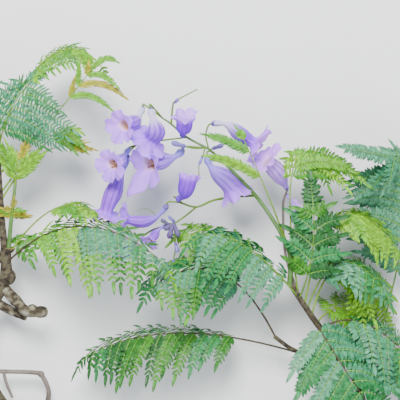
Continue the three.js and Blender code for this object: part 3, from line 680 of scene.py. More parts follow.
def tube_rings(flower, curve, top, pinch):
    """Rings of points from the foot of the tube to its mouth, which may be pinched."""
    girth = flower["size"] * flower["girth"]
    rings = []
    for i in range(1, TUBE_ROWS + 1):
        along = i / TUBE_ROWS
        middle, _, side, up = frame_at(curve, along, top)
        narrow = mix(1, pinch, max(0, along - 0.76) / 0.24)
        radius = profile_radius(along ** flower["neck"]) * narrow * girth
        ring = []
        for k in range(COLUMNS):
            angle = math.tau * k / COLUMNS
            below = math.cos(angle) + 1
            out = side * math.sin(angle) * WIDE + up * math.cos(angle) * HIGH
            pleat = PLEAT * swell(along, 0.25, 1, 1) * math.cos(5 * angle + math.pi)
            pleat += CREASE * swell(along, 0.2, 1, 1) * math.cos(20 * angle)
            belly = -BELLY * along * math.exp(-(below * 6) ** 2)
            if pinch < 1:
                belly -= PRESSED * max(0, along - 0.7) / 0.3 * math.exp(-(below * 2.2) ** 2)
            ring.append(middle + out * radius * (1 + pleat + belly))
        rings.append(ring)
    return rings


# %% The lobes' rows
LOBE_LENGTH = 11
LOBE_ROWS = 12
PINCH = 0.8  # an open flower's mouth is a little narrower than its bell
WIDE_OPEN = math.radians(45)
NOTCH = 0.66  # length of the rim between two lobes, as a share of a lobe's
START_LEAN = 0.2  # radians that the lobes lean outwards at the mouth
ROLLED = 0.45  # share of its length within which a lobe has rolled out


def lobe_rows(flower, curve, top, mouth, length, flare, waves):
    """Rows of points that roll outwards from the mouth's ring to the lobes' wavy rim."""
    _, forward, side, up = frame_at(curve, 1, top)
    reach = [[0, 0] for _ in mouth]
    rows = []
    for j in range(1, LOBE_ROWS + 1):
        s = j / LOBE_ROWS
        row = []
        for k, base in enumerate(mouth):
            lobe, spot = divmod(k, LOBE_COLUMNS)
            across = 2 * spot / LOBE_COLUMNS - 1
            phase, ripple, curl = waves[lobe]
            pointed = lobe == flower["pointed"]
            edge = 1 - abs(across) ** 1.2 if pointed else (1 - abs(across) ** 3.6) ** 0.5
            # The rim falls to a notch between two lobes and is finely wavy.
            rim = length * mix(NOTCH, flower["lobes"][lobe], edge)
            rim *= 1 + 0.05 * math.sin(9 * across + phase)
            lean = mix(START_LEAN, flare + curl * s, min(1, s / ROLLED) ** 0.8)
            reach[k][0] += math.sin(lean) * rim / LOBE_ROWS
            reach[k][1] += math.cos(lean) * rim / LOBE_ROWS
            out = spoke(side, up, math.tau * k / COLUMNS)
            face = out * math.cos(lean) - forward * math.sin(lean)
            # A broader wave grows towards the rim.
            wave = ripple * s**1.4 * (1.3 * math.sin(4.2 * across + phase) - 0.8 * (1 - across**2))
            row.append(base + out * reach[k][0] + forward * reach[k][1] - face * wave * flower["size"])
        rows.append(row)
    return rows


def flower_net(flower, draw):
    """The foot of the tube, and rows of points from there to the rim of the lobes."""
    curve = tube_curve(flower)
    top = Vector(flower["top"]).normalized()
    flare = math.radians(flower["flare"])
    pinch = PINCH if flare > WIDE_OPEN else 1
    waves = [(draw.uniform(0, 6.3), draw.uniform(0.8, 1.6), draw.uniform(-0.25, 0.35)) for _ in range(5)]
    rings = tube_rings(flower, curve, top, pinch)
    length = (LOBE_LENGTH + (1 - pinch) * PROFILE[-1][1]) * flower["size"]
    return curve(0), rings + lobe_rows(flower, curve, top, rings[-1], length, flare, waves)


foot, rows = flower_net(FLOWERS["flower_05"], random.Random(1))
print("a net has", len(rows), "rows of", len(rows[0]), "points")

# %% The mesh of one flower
FIRST_RING = 0.04  # height of the first ring in the UV map


def flower_mesh(name, foot, rows):
    """A flower's net as a mesh, closed at its foot, with the petal's UV map."""
    points = [in_frame(foot)] + [in_frame(spot) for row in rows for spot in row]
    faces = [(0, 1 + (k + 1) % COLUMNS, 1 + k) for k in range(COLUMNS)]
    marks = []
    for k in range(COLUMNS):
        left, right = k / COLUMNS, (k + 1) / COLUMNS
        marks.append([(left, 0), (right, FIRST_RING), (left, FIRST_RING)])
    heights = [i / TUBE_ROWS for i in range(1, TUBE_ROWS + 1)]
    heights += [1 + j / LOBE_ROWS for j in range(1, LOBE_ROWS + 1)]
    for i in range(len(rows) - 1):
        for k in range(COLUMNS):
            a, b = 1 + i * COLUMNS + k, 1 + i * COLUMNS + (k + 1) % COLUMNS
            left, right = k / COLUMNS, (k + 1) / COLUMNS
            low, high = heights[i], heights[i + 1]
            faces.append((a, b, b + COLUMNS, a + COLUMNS))
            marks.append([(left, low), (right, low), (right, high), (left, high)])
    mesh = plain_mesh(name, points, faces)
    layer = mesh.uv_layers.new(name="petal")
    layer.data.foreach_set("uv", [value for face in marks for mark in face for value in mark])
    return mesh


# %% [markdown]
# ## Petal finishes
# Outside, the tube is violet with darker streaks that run along it, and the lobes are pale
# lilac. Inside, the throat is nearly white, partly its own colour and partly painted light that
# brightens the deep tube, with a warm patch on its lower side. The streaks are a noise on a
# tube that the UV map is rolled up to, so they have no seam.

# %% One petal finish
STREAKS = 10
PETAL_LIGHT = 1.3  # petals let light through, so they look brighter than bark or leaf
STREAK_COLOUR = (*screen_colour(104, 70, 182), 1)
THROAT_COLOUR = (*screen_colour(255, 206, 150, PETAL_LIGHT), 1)


def petal_finish(name, stripes, patch, stops):
    """Stops colour the petal from foot, 0, over mouth, 0.5, to rim, 1."""
    finish = Finish(name, 0.55, 0.25, PETAL_LIGHT)
    finish.shader.inputs["Subsurface Weight"].default_value = 0.6
    finish.shader.inputs["Subsurface Radius"].default_value = (1, 0.8, 1)
    finish.shader.inputs["Subsurface Scale"].default_value = 0.003
    marks = finish.node("ShaderNodeUVMap", uv_map="petal").outputs["UV"]
    split = finish.nodes.new("ShaderNodeSeparateXYZ")
    finish.links.new(marks, split.inputs[0])
    around, height = split.outputs[:2]
    turn = finish.times(around, math.tau)
    # The map rolled up, and a noise on it.
    rolled = finish.nodes.new("ShaderNodeCombineXYZ")
    finish.feed(rolled.inputs["X"], finish.times(finish.maths("COSINE", turn), 3))
    finish.feed(rolled.inputs["Y"], finish.times(finish.maths("SINE", turn), 3))
    finish.feed(rolled.inputs["Z"], finish.times(height, 0.9))
    grain = finish.speckle(2.6, 3, rolled.outputs[0])
    # Streaks run along the petal, wander with the noise and fade towards foot and rim.
    wander = finish.maths("MULTIPLY_ADD", turn, STREAKS, finish.times(grain, 5))
    line = finish.span(finish.maths("COSINE", wander), 0.1, 1)
    begins, ends = finish.span(height, 0.3, 0.55), finish.span(height, 1.3, 0.95)
    line = finish.times(line, finish.times(begins, ends))
    # Faint veins show where the noise is high.
    vein = finish.times(finish.span(grain, 0.5, 0.7), 0.3)
    strength = finish.times(finish.maths("MAXIMUM", line, vein), stripes)
    colour = finish.blend(strength, finish.ramp(finish.times(height, 0.5), stops), STREAK_COLOUR)
    if patch:
        low = finish.span(finish.maths("COSINE", turn), -0.2, -0.95)
        deep = finish.span(height, 1.2, 0.8)
        colour = finish.blend(finish.times(finish.times(low, deep), 0.7), colour, THROAT_COLOUR)
    finish.colour(colour)
    finish.bump(grain, 0.4, 0.0005)
    return finish


# %% Every petal finish
PALE_RIM = [(0.57, (168, 124, 252)), (1, (188, 152, 255))]
# How strong the streaks are, whether the throat has its warm patch, then the stops.
PETALS = {
    "violet": (0.75, False, [
        (0, (134, 130, 206)), (0.1, (156, 142, 222)), (0.25, (148, 112, 216)), (0.46, (154, 106, 222)),
        *PALE_RIM]),
    "lilac": (0.6, False, [
        (0, (140, 140, 208)), (0.1, (160, 150, 228)), (0.25, (166, 144, 236)), (0.46, (170, 138, 240)),
        *PALE_RIM]),
    "pale_neck": (0.8, False, [
        (0, (206, 204, 242)), (0.12, (234, 226, 255)), (0.22, (214, 202, 250)), (0.32, (156, 122, 222)),
        (0.47, (140, 98, 214)), *PALE_RIM]),
    "pink": (0.6, False, [
        (0, (166, 144, 222)), (0.2, (186, 160, 238)), (0.46, (204, 174, 244)), (0.57, (208, 182, 252)),
        (1, (212, 196, 255))]),
    "young": (0.85, False, [
        (0, (108, 84, 180)), (0.2, (116, 76, 190)), (0.46, (114, 66, 186)), (0.6, (150, 100, 216)),
        (1, (184, 148, 244))]),
    # In these two, the throat's near-white is partly its own colour and partly painted light, which
    # brightens the deep tube where little light reaches.
    "inside": (0.15, True, [
        (0, (255, 220, 200)), (0.42, (255, 224, 214)), (0.5, (232, 206, 250)), (0.6, (190, 150, 255)),
        (1, (186, 150, 255))]),
    "pale_inside": (0.12, True, [
        (0, (255, 224, 206)), (0.42, (255, 230, 226)), (0.5, (240, 210, 255)), (0.62, (210, 168, 255)),
        (1, (202, 164, 255))]),
    "young_inside": (0.3, False, [(0, (170, 130, 226)), (0.5, (204, 174, 246)), (1, (194, 164, 244))]),
}
petals = {name: petal_finish(f"petal_{name}", *values) for name, values in PETALS.items()}
print(len(petals), "petal finishes")

# %% Every flower
PETAL_WALL = 0.4
FLOWER_SEED = 700


def with_wall(piece):
    """Gives an open net its thin wall, and makes the result a plain mesh."""
    wall = piece.modifiers.new("wall", "SOLIDIFY")
    wall.thickness = PETAL_WALL * MM
    wall.offset = -1
    wall.material_offset = 1
    wall.material_offset_rim = 1
    mesh = baked(piece)
    piece.modifiers.remove(wall)
    piece.data = mesh


for index, (name, flower) in enumerate(FLOWERS.items()):
    foot, rows = flower_net(flower, random.Random(FLOWER_SEED + index))
    piece = add_object(f"{name}_petals", flower_mesh(f"{name}_petals", foot, rows))
    skin = flower["skin"]
    inside = flower.get("inside", "young_inside" if skin == "young" else "inside")
    for finish in (petals[skin], petals[inside]):
        piece.data.materials.append(finish.material)
    with_wall(piece)
    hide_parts(name)
    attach(piece, "root")
print(len(FLOWERS), "flowers of", len(piece.data.polygons), "faces")

# %% [markdown]
# ## Flower stalks, buds and stamens
# The panicle's stems are all smooth; the main stem is pale green, and its side stems and the short
# stalk of each flower are thinner and olive green. All are threads. Buds and the small cup at each
# flower's foot are turned shapes along a short line, so one lathe function makes both.

# %% Stems of the panicle
# Points of a stem, then its radius at the first and at the last.
STEMS = [
    ([(72, -69, 46), (71, -40, 48), (49, -2.4, 54), (20, 29, 57), (5.6, 41.6, 58)], 2.2, 0.9),
    ([(6, 41.2, 58), (-10.4, 50, 56.5), (-23, 60.6, 57), (-31, 66, 57)], 1, 0.7),
    ([(-147.6, 16, 50), (-149, 2, 49), (-151.6, -18, 46), (-154, -40, 40)], 1.2, 1.9),
]
SIDE_STEMS = [
    ([(-23, 60.6, 57), (-21.6, 75, 60), (-19, 79, 61), (-2, 88, 62)], 0.85, 0.5),
    ([(5, 41.6, 58), (-4, 41, 61), (-11.6, 42.4, 62)], 0.7, 0.55),
    ([(4.4, 42.4, 58), (2.4, 35.6, 60)], 0.7, 0.55),
    ([(8, 40, 58.6), (10, 40.8, 60.5)], 0.7, 0.55),
    ([(44, 3.6, 54), (30, 2.6, 38), (11.6, 0, 40), (-2.8, -5.5, 48), (-16.4, -2, 50)], 1.05, 0.75),
    ([(-2.8, -5.5, 48), (-12, -13, 46), (-22, -20, 44)], 0.8, 0.65),
    ([(-21, -19, 44), (-19.6, -36, 41), (-21.4, -49, 40)], 0.7, 0.55),
]
STYLES = [
    ([(-0.8, 28, 61), (-0.9, 22, 60.6), (0.2, 17, 60)], 0.45, 0.35),
    ([(-34.6, -14.6, 49.6), (-36.8, -10.8, 52), (-43, -6.8, 55), (-51, -8.8, 55)], 0.35, 0.22),
]
PEDICEL_TIP = 3  # mm that a flower's stalk runs straight before its foot
PEDICEL_RADII = (0.62, 0.8)
STEM_STEP, SIDE_STEP, PEDICEL_STEP = 2, 1.5, 1.2


def pedicel(flower):
    """The stalk of one flower, which comes up straight behind its foot."""
    aim = Vector(flower["aim"]).normalized()
    base = Vector(flower["base"])
    points = [flower["fork"], *flower.get("via", []), base - aim * PEDICEL_TIP, base + aim * 0.5]
    return smooth_curve(points)


green_stem = mottled("green_stem", 0.5, 0.4, (120, 3), [
    (0.3, (94, 120, 80)), (0.6, (124, 150, 112)), (0.8, (130, 142, 122)),
], (900, 3, 0.2, 0.0003))
olive_stem = mottled("olive_stem", 0.5, 0.4, (90, 3), [
    (0.3, (112, 132, 76)), (0.55, (134, 162, 96)), (0.75, (132, 128, 128)),
], (900, 3, 0.2, 0.0003))

rows = [sampled(smooth_curve(points), STEM_STEP, *radii) for points, *radii in STEMS]
stems = threads("flower_stems", rows, 12, green_stem)
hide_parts("flower_stalk", "left_shoot")
rows = [sampled(smooth_curve(points), SIDE_STEP, *radii) for points, *radii in SIDE_STEMS + STYLES]
for flower in FLOWERS.values():
    if "fork" in flower:
        rows.append(sampled(pedicel(flower), PEDICEL_STEP, *PEDICEL_RADII))
side_stems = threads("flower_side_stems", rows, 8, olive_stem)
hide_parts("flower_lateral")
for piece in (stems, side_stems):
    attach(piece, "root")
    print(piece.name, len(piece.data.polygons), "faces")

# %% A turned shape
# Share of the length, and the radius in mm there.
BUD_ROWS = [(0, 0.6), (0.06, 1.15), (0.16, 1.3), (0.3, 1.3), (0.5, 1.6), (0.72, 1.95), (0.86, 1.8),
            (0.95, 1.2), (0.99, 0.5)]
CUP_ROWS = [(0, 0.5), (0.12, 1.4), (0.4, 2.05), (0.75, 2.3), (1, 2.45)]
TURNS = 15
CUP_FLOOR = 0.55  # share of a cup's height at which its hollow ends


def turned_net(start, end, rows, size, teeth=0):
    """Points and faces of a shape turned about a line. Teeth lift every third point of its rim."""
    line = Vector(end) - Vector(start)
    forward = line.normalized()
    side = forward.cross(Vector((0.1, 0.2, 1))).normalized()
    up = side.cross(forward)
    points = [Vector(start)]
    for number, (along, radius) in enumerate(rows):
        for k in range(TURNS):
            angle = math.tau * k / TURNS
            lift = teeth if number == len(rows) - 1 and k % 3 == 0 else 0
            out = spoke(side, up, angle)
            points.append(Vector(start) + line * (along + lift) + out * radius * size)
    points.append(Vector(start) + line * (CUP_FLOOR if teeth else 1))
    faces = []
    last = len(points) - 1
    for k in range(TURNS):
        n = (k + 1) % TURNS
        faces.append((0, 1 + n, 1 + k))
        faces.append((last, last - TURNS + k, last - TURNS + n))
        for i in range(len(rows) - 1):
            a, b = 1 + i * TURNS + k, 1 + i * TURNS + n
            faces.append((a, b, b + TURNS, a + TURNS))
    return points, faces


def joined(name, nets, finish):
    """One piece of several nets, all of one finish."""
    points, faces = [], []
    for spots, loops in nets:
        first = len(points)
        points += [in_frame(spot) for spot in spots]
        faces += [tuple(first + i for i in loop) for loop in loops]
    mesh = plain_mesh(name, points, faces)
    mesh.materials.append(finish.material)
    piece = add_object(name, mesh)
    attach(piece, "root")
    return piece


points, faces = turned_net((0, 0, 0), (0, 0, 1), BUD_ROWS, 1)
print("a bud has", len(points), "points and", len(faces), "faces")

# %% Buds, wilted flowers and cups
# A bud's foot, its tip and how thick it is for its profile.
BUDS = [
    ((-11.4, 42.3, 62), (-22.8, 45.8, 63), 1.15), ((9.6, 40.7, 60.3), (18.6, 43.8, 62), 1),
    ((2.6, 36, 60), (-0.8, 28, 61), 0.7), ((-20.6, 77, 60.4), (-17, 80.6, 61), 0.8),
    ((-19.8, -34, 41.3), (-18, -42, 44), 0.9), ((-21.3, -48, 40), (-21.8, -56, 41), 1),
    ((-20, -18, 44.4), (-25.6, -12.6, 47), 0.8),
]
CUP_TEETH = 0.35
CUP_BEHIND, CUP_AHEAD = 0.8, 2.8  # mm from a flower's foot
BUD_CUP_HEIGHT, BUD_CUP_SIZE = 2.4, 0.66
bud_skin = mottled("bud_skin", 0.5, 0.4, (260, 3), [
    (0.3, (118, 108, 160)), (0.6, (150, 146, 206)), (0.8, (170, 176, 196)),
], (1200, 3, 0.2, 0.0003))
cup_skin = mottled("cup_skin", 0.6, 0.35, (300, 3), [
    (0.3, (96, 84, 140)), (0.6, (124, 114, 168)), (0.8, (118, 124, 132)),
], (1200, 3, 0.2, 0.0003))
WILTED = [
    ((-21, -19, 44.4), (-29, -23.6, 46), 1.2), ((-22, -20, 44.4), (-25, -31, 47), 1.3),
    ((-20.8, -19, 44.4), (-17, -29.4, 47.4), 1.1), ((-24, -20.4, 44.6), (-31.4, -15.6, 48), 0.9),
]
wilted_skin = mottled("wilted_skin", 0.65, 0.3, (340, 3), [
    (0.3, (84, 70, 104)), (0.5, (120, 108, 152)), (0.66, (104, 112, 112)), (0.8, (134, 104, 128)),
], (900, 4, 0.4, 0.0004))
wilted = joined("flower_wilted", [turned_net(a, b, BUD_ROWS, size) for a, b, size in WILTED], wilted_skin)
buds = joined("flower_buds", [turned_net(a, b, BUD_ROWS, size) for a, b, size in BUDS], bud_skin)
cups = []
for flower in FLOWERS.values():
    base, aim, size = Vector(flower["base"]), Vector(flower["aim"]).normalized(), flower["size"]
    rim = base + aim * CUP_AHEAD * size
    cups.append(turned_net(base - aim * CUP_BEHIND, rim, CUP_ROWS, size, CUP_TEETH))
for a, b, size in BUDS:
    rim = Vector(a) + (Vector(b) - Vector(a)).normalized() * BUD_CUP_HEIGHT
    cups.append(turned_net(a, rim, CUP_ROWS, BUD_CUP_SIZE * size, CUP_TEETH))
cups = joined("flower_cups", cups, cup_skin)
print(len(BUDS), "buds and", len(FLOWERS) + len(BUDS), "cups")

# %% Stamens in the open throats
STAMENS = ["flower_04", "flower_05", "flower_12"]
# Turn about the tube, reach as a share of its length, and mm off its middle.
FILAMENTS = [(-0.5, 0.9, 3.6), (0.5, 0.88, 3.6), (-0.2, 0.98, 3), (0.25, 1, 3.1), (math.pi, 1.06, 2.6)]
INSIDE = 0.6  # most of the tube's radius that a filament keeps to
BEYOND = 30  # mm that a filament would go on past the mouth, for each whole length more
# Share of a filament's length and its radius there. It ends in a thicker anther.
ALONG = [(0.42, 0.2), (0.54, 0.2), (0.66, 0.2), (0.77, 0.22), (0.88, 0.26), (1, 0.5)]
anther_skin = mottled("anther_skin", 0.6, 0.3, (600, 3), [
    (0.3, (112, 84, 66)), (0.7, (176, 140, 98)),
], (2500, 3, 0.3, 0.0002))
rows = []
for name in STAMENS:
    flower = FLOWERS[name]
    curve, size = tube_curve(flower), flower["size"]
    for turn, reach, height in FILAMENTS:
        spots = []
        for share, _ in ALONG:
            along = min(1, share * reach)
            middle, forward, side, up = frame_at(curve, along, Vector(flower["top"]))
            out = spoke(side, up, turn)
            rise = size * min(height, INSIDE * profile_radius(along))
            beyond = max(0, share * reach - 1) * BEYOND * size
            spots.append(middle + out * rise + forward * beyond)
        rows.append((spots, [radius for _, radius in ALONG]))
stamens = threads("flower_stamens", rows, 6, anther_skin)
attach(stamens, "root")
print(len(rows), "stamens")

# %% [markdown]
# ## Leaves
# A jacaranda leaf is divided twice. Its stalk bears pairs of side ribs, and each rib bears two
# rows of small pointed leaflets. The rule that grew the blades of the solids is written again
# here, with ribs closer together, and carried on to every leaflet.

# %% The leaves' places
# Length, width and spacing of the leaflets in mm.
MATURE, YOUNG, GOLDEN = (8.4, 3, 2.8), (6.4, 2.3, 2.2), (5.2, 1.7, 1.8)
LEAFLETS = {"lime": YOUNG, "light": YOUNG, "vivid": YOUNG, "fresh": YOUNG, "gold": GOLDEN}


def frond(name, tone, start, end, bend, bare, pinna, facing, droop, **other):
    """A leaf's stalk bows from start to end and is bare for a share of its length. Its ribs
    are up to pinna mm long, face one way and droop. Other values replace the usual ones."""
    usual = dict(
        spacing=11, sweep=62, lean=62,  # mm between ribs, degrees of ribs and of their leaflets
        far=1, far_droop=droop,  # ribs on the far side of the stalk
        tip=0.45, tip_droop=droop,  # the rib at the tip
        first=(None, 0), tips=tone,  # tone of the first ribs, and of every rib's end
        leaflet=LEAFLETS.get(tone, MATURE), dark=False,
    )
    return {
        **usual, **other, "name": f"leaf_{name}", "tone": tone, "start": start, "end": end, "bend": bend,
        "bare": bare, "pinna": pinna, "facing": facing, "droop": droop}


LEAVES = [
    frond("left_arch", "vivid", (-160.6, 60, 55), (-78, 106, 64), (7, 66, 8), 0.25, 15,
        (-0.2, 0.75, 0.63), 0.5, far=0.66, far_droop=0.15, sweep=50, spacing=5.5,
        leaflet=(6, 2, 2)),
    frond("left_golden", "ripe", (-160, 22, 45.6), (-86, 102.5, 77), (4, -4, 8), 0.7, 44,
        (-0.2, 0.3, 0.93), 0.55, far_droop=0.1, sweep=34, far=0.42, tip=0.75, spacing=10.5,
        lean=42, leaflet=(4.6, 1.6, 1.6)),
    frond("left_fan", "sea", (-161, 42, 50), (-136, 93, 65), (-6, 2, 10), 0.2, 52,
        (0.1, 0.55, 0.83), 0.3, sweep=70, far=0.5, spacing=6.6, lean=70, leaflet=(8, 1.95, 2.4)),
    frond("left_tips", "lime", (-159.6, 6, 44), (-104, 57, 47), (0, 14, 2), 0.7, 20,
        (0, 0.5, 0.85), 0.5, sweep=40, far=0.7, spacing=8, lean=38),
    frond("left_spike", "gold", (-159.4, 0, 43), (-97, 43, 48), (-4, 27, 2), 0.84, 12,
        (0, 0.6, 0.8), 0.05, sweep=24, tip=1, spacing=6, lean=32),
    frond("left_erect", "fresh", (-147.8, 10, 49.6), (-144, 30, 56), (-2, 0, 0), 0.15, 30,
        (0, -0.1, 1), 0, sweep=38, tip=0.7, spacing=6.5, lean=28, leaflet=(9.5, 2, 2.6)),
    frond("left_tuft", "gold", (-151, -15, 47), (-150, -8, 50), (0, 0, 1), 0.1, 13.5,
        (0, -0.4, 0.9), 0.1, sweep=78, tip=0.7, spacing=2.4, lean=36),
    frond("left_young", "lime", (-156, -47, 37), (-88, -9, 64), (4, 38, 4), 0.52, 17,
        (-0.2, 0.9, 0.4), 0.3, sweep=45, spacing=6),
    frond("left_long", "blue", (-155, -50, 38), (-33, -46, 76), (-4, 54, 8), 0.2, 42,
        (0, 0.8, 0.6), 0.6, first=("vivid", 0.34), tips="shade", far=0.42, far_droop=0.1,
        spacing=10, leaflet=(8.2, 3, 2.9), dark=True),
    frond("left_small", "mid", (-158, -44, 36), (-136, -31, 40), (0, 4, 0), 0.3, 18,
        (0.2, 0.6, 0.8), 0.4, spacing=8),
    frond("back_high", "blue", (-161.5, 50, 52), (-204, 104, 14), (-8, 6, 22), 0.3, 34,
        (-0.4, 0.4, 0.85), 0.2),
    frond("back_middle", "deep", (-160, 10, 44), (-216, 28, 44), (0, 18, 6), 0.3, 30,
        (-0.2, 0.6, 0.75), 0.4),
    frond("back_low", "mid", (-162, -54, 36), (-214, -52, 32), (0, 22, 4), 0.3, 28,
        (-0.1, 0.7, 0.7), 0.4),
    frond("right_front", "blue", (88, -91, 41.5), (136, -166, 58), (-4, 4, 22), 0.14, 50,
        (0.1, 0.25, 0.96), 0.1, far_droop=0.45, sweep=66, far=0.9, spacing=10,
        leaflet=(9.6, 3.4, 3), dark=True),
    frond("middle_front", "blue", (80, -79.5, 44), (2, -28, 70), (-8, 33, 17), 0.1, 38,
        (0, 0.75, 0.66), 0.5, far=0.8, spacing=10),
    frond("middle_left", "blue", (61, -111, 30), (-36, -68, 60), (7, 62, -6), 0.32, 36,
        (0, 0.7, 0.7), 0.45, tips="mid", dark=True, spacing=10),
    frond("low_left", "mixed", (84, -125.4, 25), (-88, -124, 36), (-24, 34, 4), 0.26, 37,
        (0, 0.92, 0.4), 0.55, far=0.6, far_droop=0.1, dark=True, spacing=9.5, lean=52),
    frond("before_flowers", "lime", (67.6, -30, 50), (35, 47, 75), (1, 0, 14), 0.5, 56,
        (0.1, 0.4, 0.9), 0.17, far_droop=0.5, sweep=38, far=0.12, tip=0.2, spacing=20, lean=44,
        leaflet=(6.6, 2, 2.1)),
    frond("right_arch", "lime", (79, -77, 44), (86, 39, 54), (-21, 57, 14), 0.55, 56,
        (-0.15, 0.3, 0.95), 0.42, sweep=56, far=0.2, tip=0.8, spacing=9, leaflet=(8, 2.3, 2.5),
        lean=52),
    frond("right_blue", "deep", (80, -78, 45), (90, -6, 62), (8, -4, 10), 0.2, 30,
        (0, 0.25, 0.97), 0.2, sweep=48, tip=1, spacing=12, leaflet=(9.6, 3.9, 3.2)),
    frond("right_high", "light", (84, -84, 43), (160, -42, 48), (-18, 98, 6), 0.4, 27,
        (0, 0.88, 0.47), 0.4, far=0.7, far_droop=0.2, spacing=8, leaflet=(7.4, 2.6, 2.4)),
    frond("right_middle", "blue", (86, -88, 42), (148, -74, 56), (-8, 62, 2), 0.26, 22,
        (0, 0.88, 0.47), 0.45, far=0.9, spacing=8),
    frond("right_low", "blue", (98, -104, 38), (166, -124, 44), (-6, 32, 2), 0.34, 34,
        (0, 0.8, 0.6), 0.55, dark=True),
    # The next two leaves have the pale lime tone partly as painted light, which brightens them where they
    # lie low in shade.
    frond("behind_bright", "light", (90, -92, 40), (146, -86, 19), (-10, 68, 4), 0.3, 38,
        (0, 0.6, 0.8), 0.5, tip=0.95, spacing=8.5, leaflet=(8.2, 3, 2.6)),
    frond("behind_low", "light", (94, -99, 38), (132, -94, 15), (-2, 18, -5), 0.2, 30,
        (0, 0.5, 0.86), 0.3, spacing=8),
    frond("behind_left", "lime", (77, -75, 44.5), (-14, -28, 34), (-4, 32, -10), 0.34, 25,
        (0, 0.6, 0.8), 0.35, leaflet=(7.4, 2.8, 2.6)),
    frond("right_edge", "grey", (131, -162, 21), (154, 34, 54), (48, 92, -20), 0.3, 54,
        (0.1, 0.3, 0.95), 0.35, tip_droop=0, sweep=58, far=0.6, tip=1.15, spacing=11),
    frond("right_foot", "blue", (133, -172, 17.5), (206, -142, 10), (4, 20, 8), 0.28, 34,
        (0.2, 0.3, 0.93), 0.2),
]
print(len(LEAVES), "leaves")

# %% The ribs of one leaf
SHORTEST_RIB = 8
WANDER = 0.12  # radians that a rib or a leaflet may turn either way


def leaf_ribs(leaf, draw):
    """Every side rib of a leaf: its foot, its way out, its length and the side that faces up."""
    start, end = Vector(leaf["start"]), Vector(leaf["end"])
    stalk = bow(start, (start + end) / 2 + Vector(leaf["bend"]), end)
    facing = Vector(leaf["facing"]).normalized()
    pairs = max(1, round((1 - leaf["bare"]) * curve_length(stalk) / leaf["spacing"]))
    near = -1 if frame_at(stalk, 0.5, facing)[2].z < 0 else 1
    ribs = []
    for k in range(pairs):
        along = (k + 0.5) / pairs
        foot, forward, side, up = frame_at(stalk, mix(leaf["bare"], 1, along), facing)
        for hand, share, droop in ((1, 1, leaf["droop"]), (-1, leaf["far"], leaf["far_droop"])):
            sweep = math.radians(leaf["sweep"]) + draw.uniform(-WANDER, WANDER)
            length = leaf["pinna"] * swell(along, 0.22, 0.92, 0.8) * draw.uniform(0.9, 1.1)
            length *= share
            way = forward * math.cos(sweep) + side * (near * hand * math.sin(sweep))
            way += up * draw.uniform(-0.14, 0.14)
            if length > SHORTEST_RIB:
                ribs.append((foot, way.normalized(), length, up, droop, along))
    foot, forward, _, up = frame_at(stalk, 1, facing)
    ribs.append((foot, forward, leaf["pinna"] * leaf["tip"], up, leaf["tip_droop"], 1))
    return stalk, ribs


print(LEAVES[0]["name"], "has", len(leaf_ribs(LEAVES[0], random.Random(1))[1]), "ribs")

# %% The leaflets of one rib
WEIGHT = Vector((0, -1, 0))  # the way the foliage hung before it was cut
OVERLAP = 0.32  # how far a leaflet's face turns along the rib, so that each lies over the next
RIB_FLOOR, FLOOR_GAP = 3, 2  # mm that a rib and a leaflet's midrib stay above the surface
TIP_FROM = 0.6  # share of a rib past which its leaflets take the tone of its tip


def leaflet_turn(way, up):
    """The turn that lays a leaflet along one direction with its face towards another."""
    across = up.cross(way).normalized()
    face = way.cross(across)
    return Matrix((way, across, face)).transposed().to_quaternion()


def grow_rib(leaf, rib, draw, place):
    """Gives a rib its leaflets through place(tone, spot, turn, size), and returns its course."""
    foot, way, length, up, droop, along = rib
    long, wide, pitch = leaf["leaflet"]
    course = length - 0.5 * long
    end = foot + way * course + WEIGHT * droop * course
    end.z = max(end.z, RIB_FLOOR)
    path = bow(foot, foot + way * course / 2, end)
    pairs = max(2, round(0.94 * course / pitch))
    lean = math.radians(leaf["lean"])
    first, until = leaf["first"]
    base_tone, tip_tone = (first, first) if along < until else (leaf["tone"], leaf["tips"])
    for k in range(pairs):
        t = mix(0.01, 0.98, (k + 0.5) / pairs)
        spot, forward, side, rise = frame_at(path, t, up)
        size = swell(t, 0.3, 0.84, 0.6)
        tone = tip_tone if t > TIP_FROM else base_tone
        for hand in (1, -1):
            angle = lean * mix(1.1, 0.75, t) + draw.uniform(-WANDER, WANDER)
            out = forward * math.cos(angle) + side * (hand * math.sin(angle))
            out += rise * draw.uniform(-0.32, 0.02)
            out.z = max(out.z, (FLOOR_GAP - spot.z) / long + 0.3)
            face = rise + forward * OVERLAP + side * draw.uniform(-0.25, 0.25)
            turn = leaflet_turn(out.normalized(), face.normalized())
            scale = size * draw.uniform(0.9, 1.1)
            place(tone, spot, turn, (long * scale, wide * scale, wide * scale))
    # One larger leaflet ends the rib.
    spot, forward, _, rise = frame_at(path, 1, up)
    forward.z = max(forward.z, (FLOOR_GAP - spot.z) / long + 0.4)
    turn = leaflet_turn(forward.normalized(), rise)
    place(tip_tone, spot, turn, (long * 1.4, wide * 1.05, wide))
    return path


# %% [markdown]
# ## One leaflet
# A leaflet is a narrow oval with a sharp tip, folded a little along its midrib and bent down
# towards its end. It is copied thousands of times, so it has only a few dozen faces: two
# edges, a ridge above and a keel below, closed at both ends.

# %% The leaflet's mesh
STATIONS = [(0.06, 0.4), (0.3, 0.53), (0.62, 0.46), (0.87, 0.22)]  # along, and half the width
SAG, FOLD, RIDGE = 0.35, 0.32, 0.06  # how far the tip and the edges bend, and half the thickness


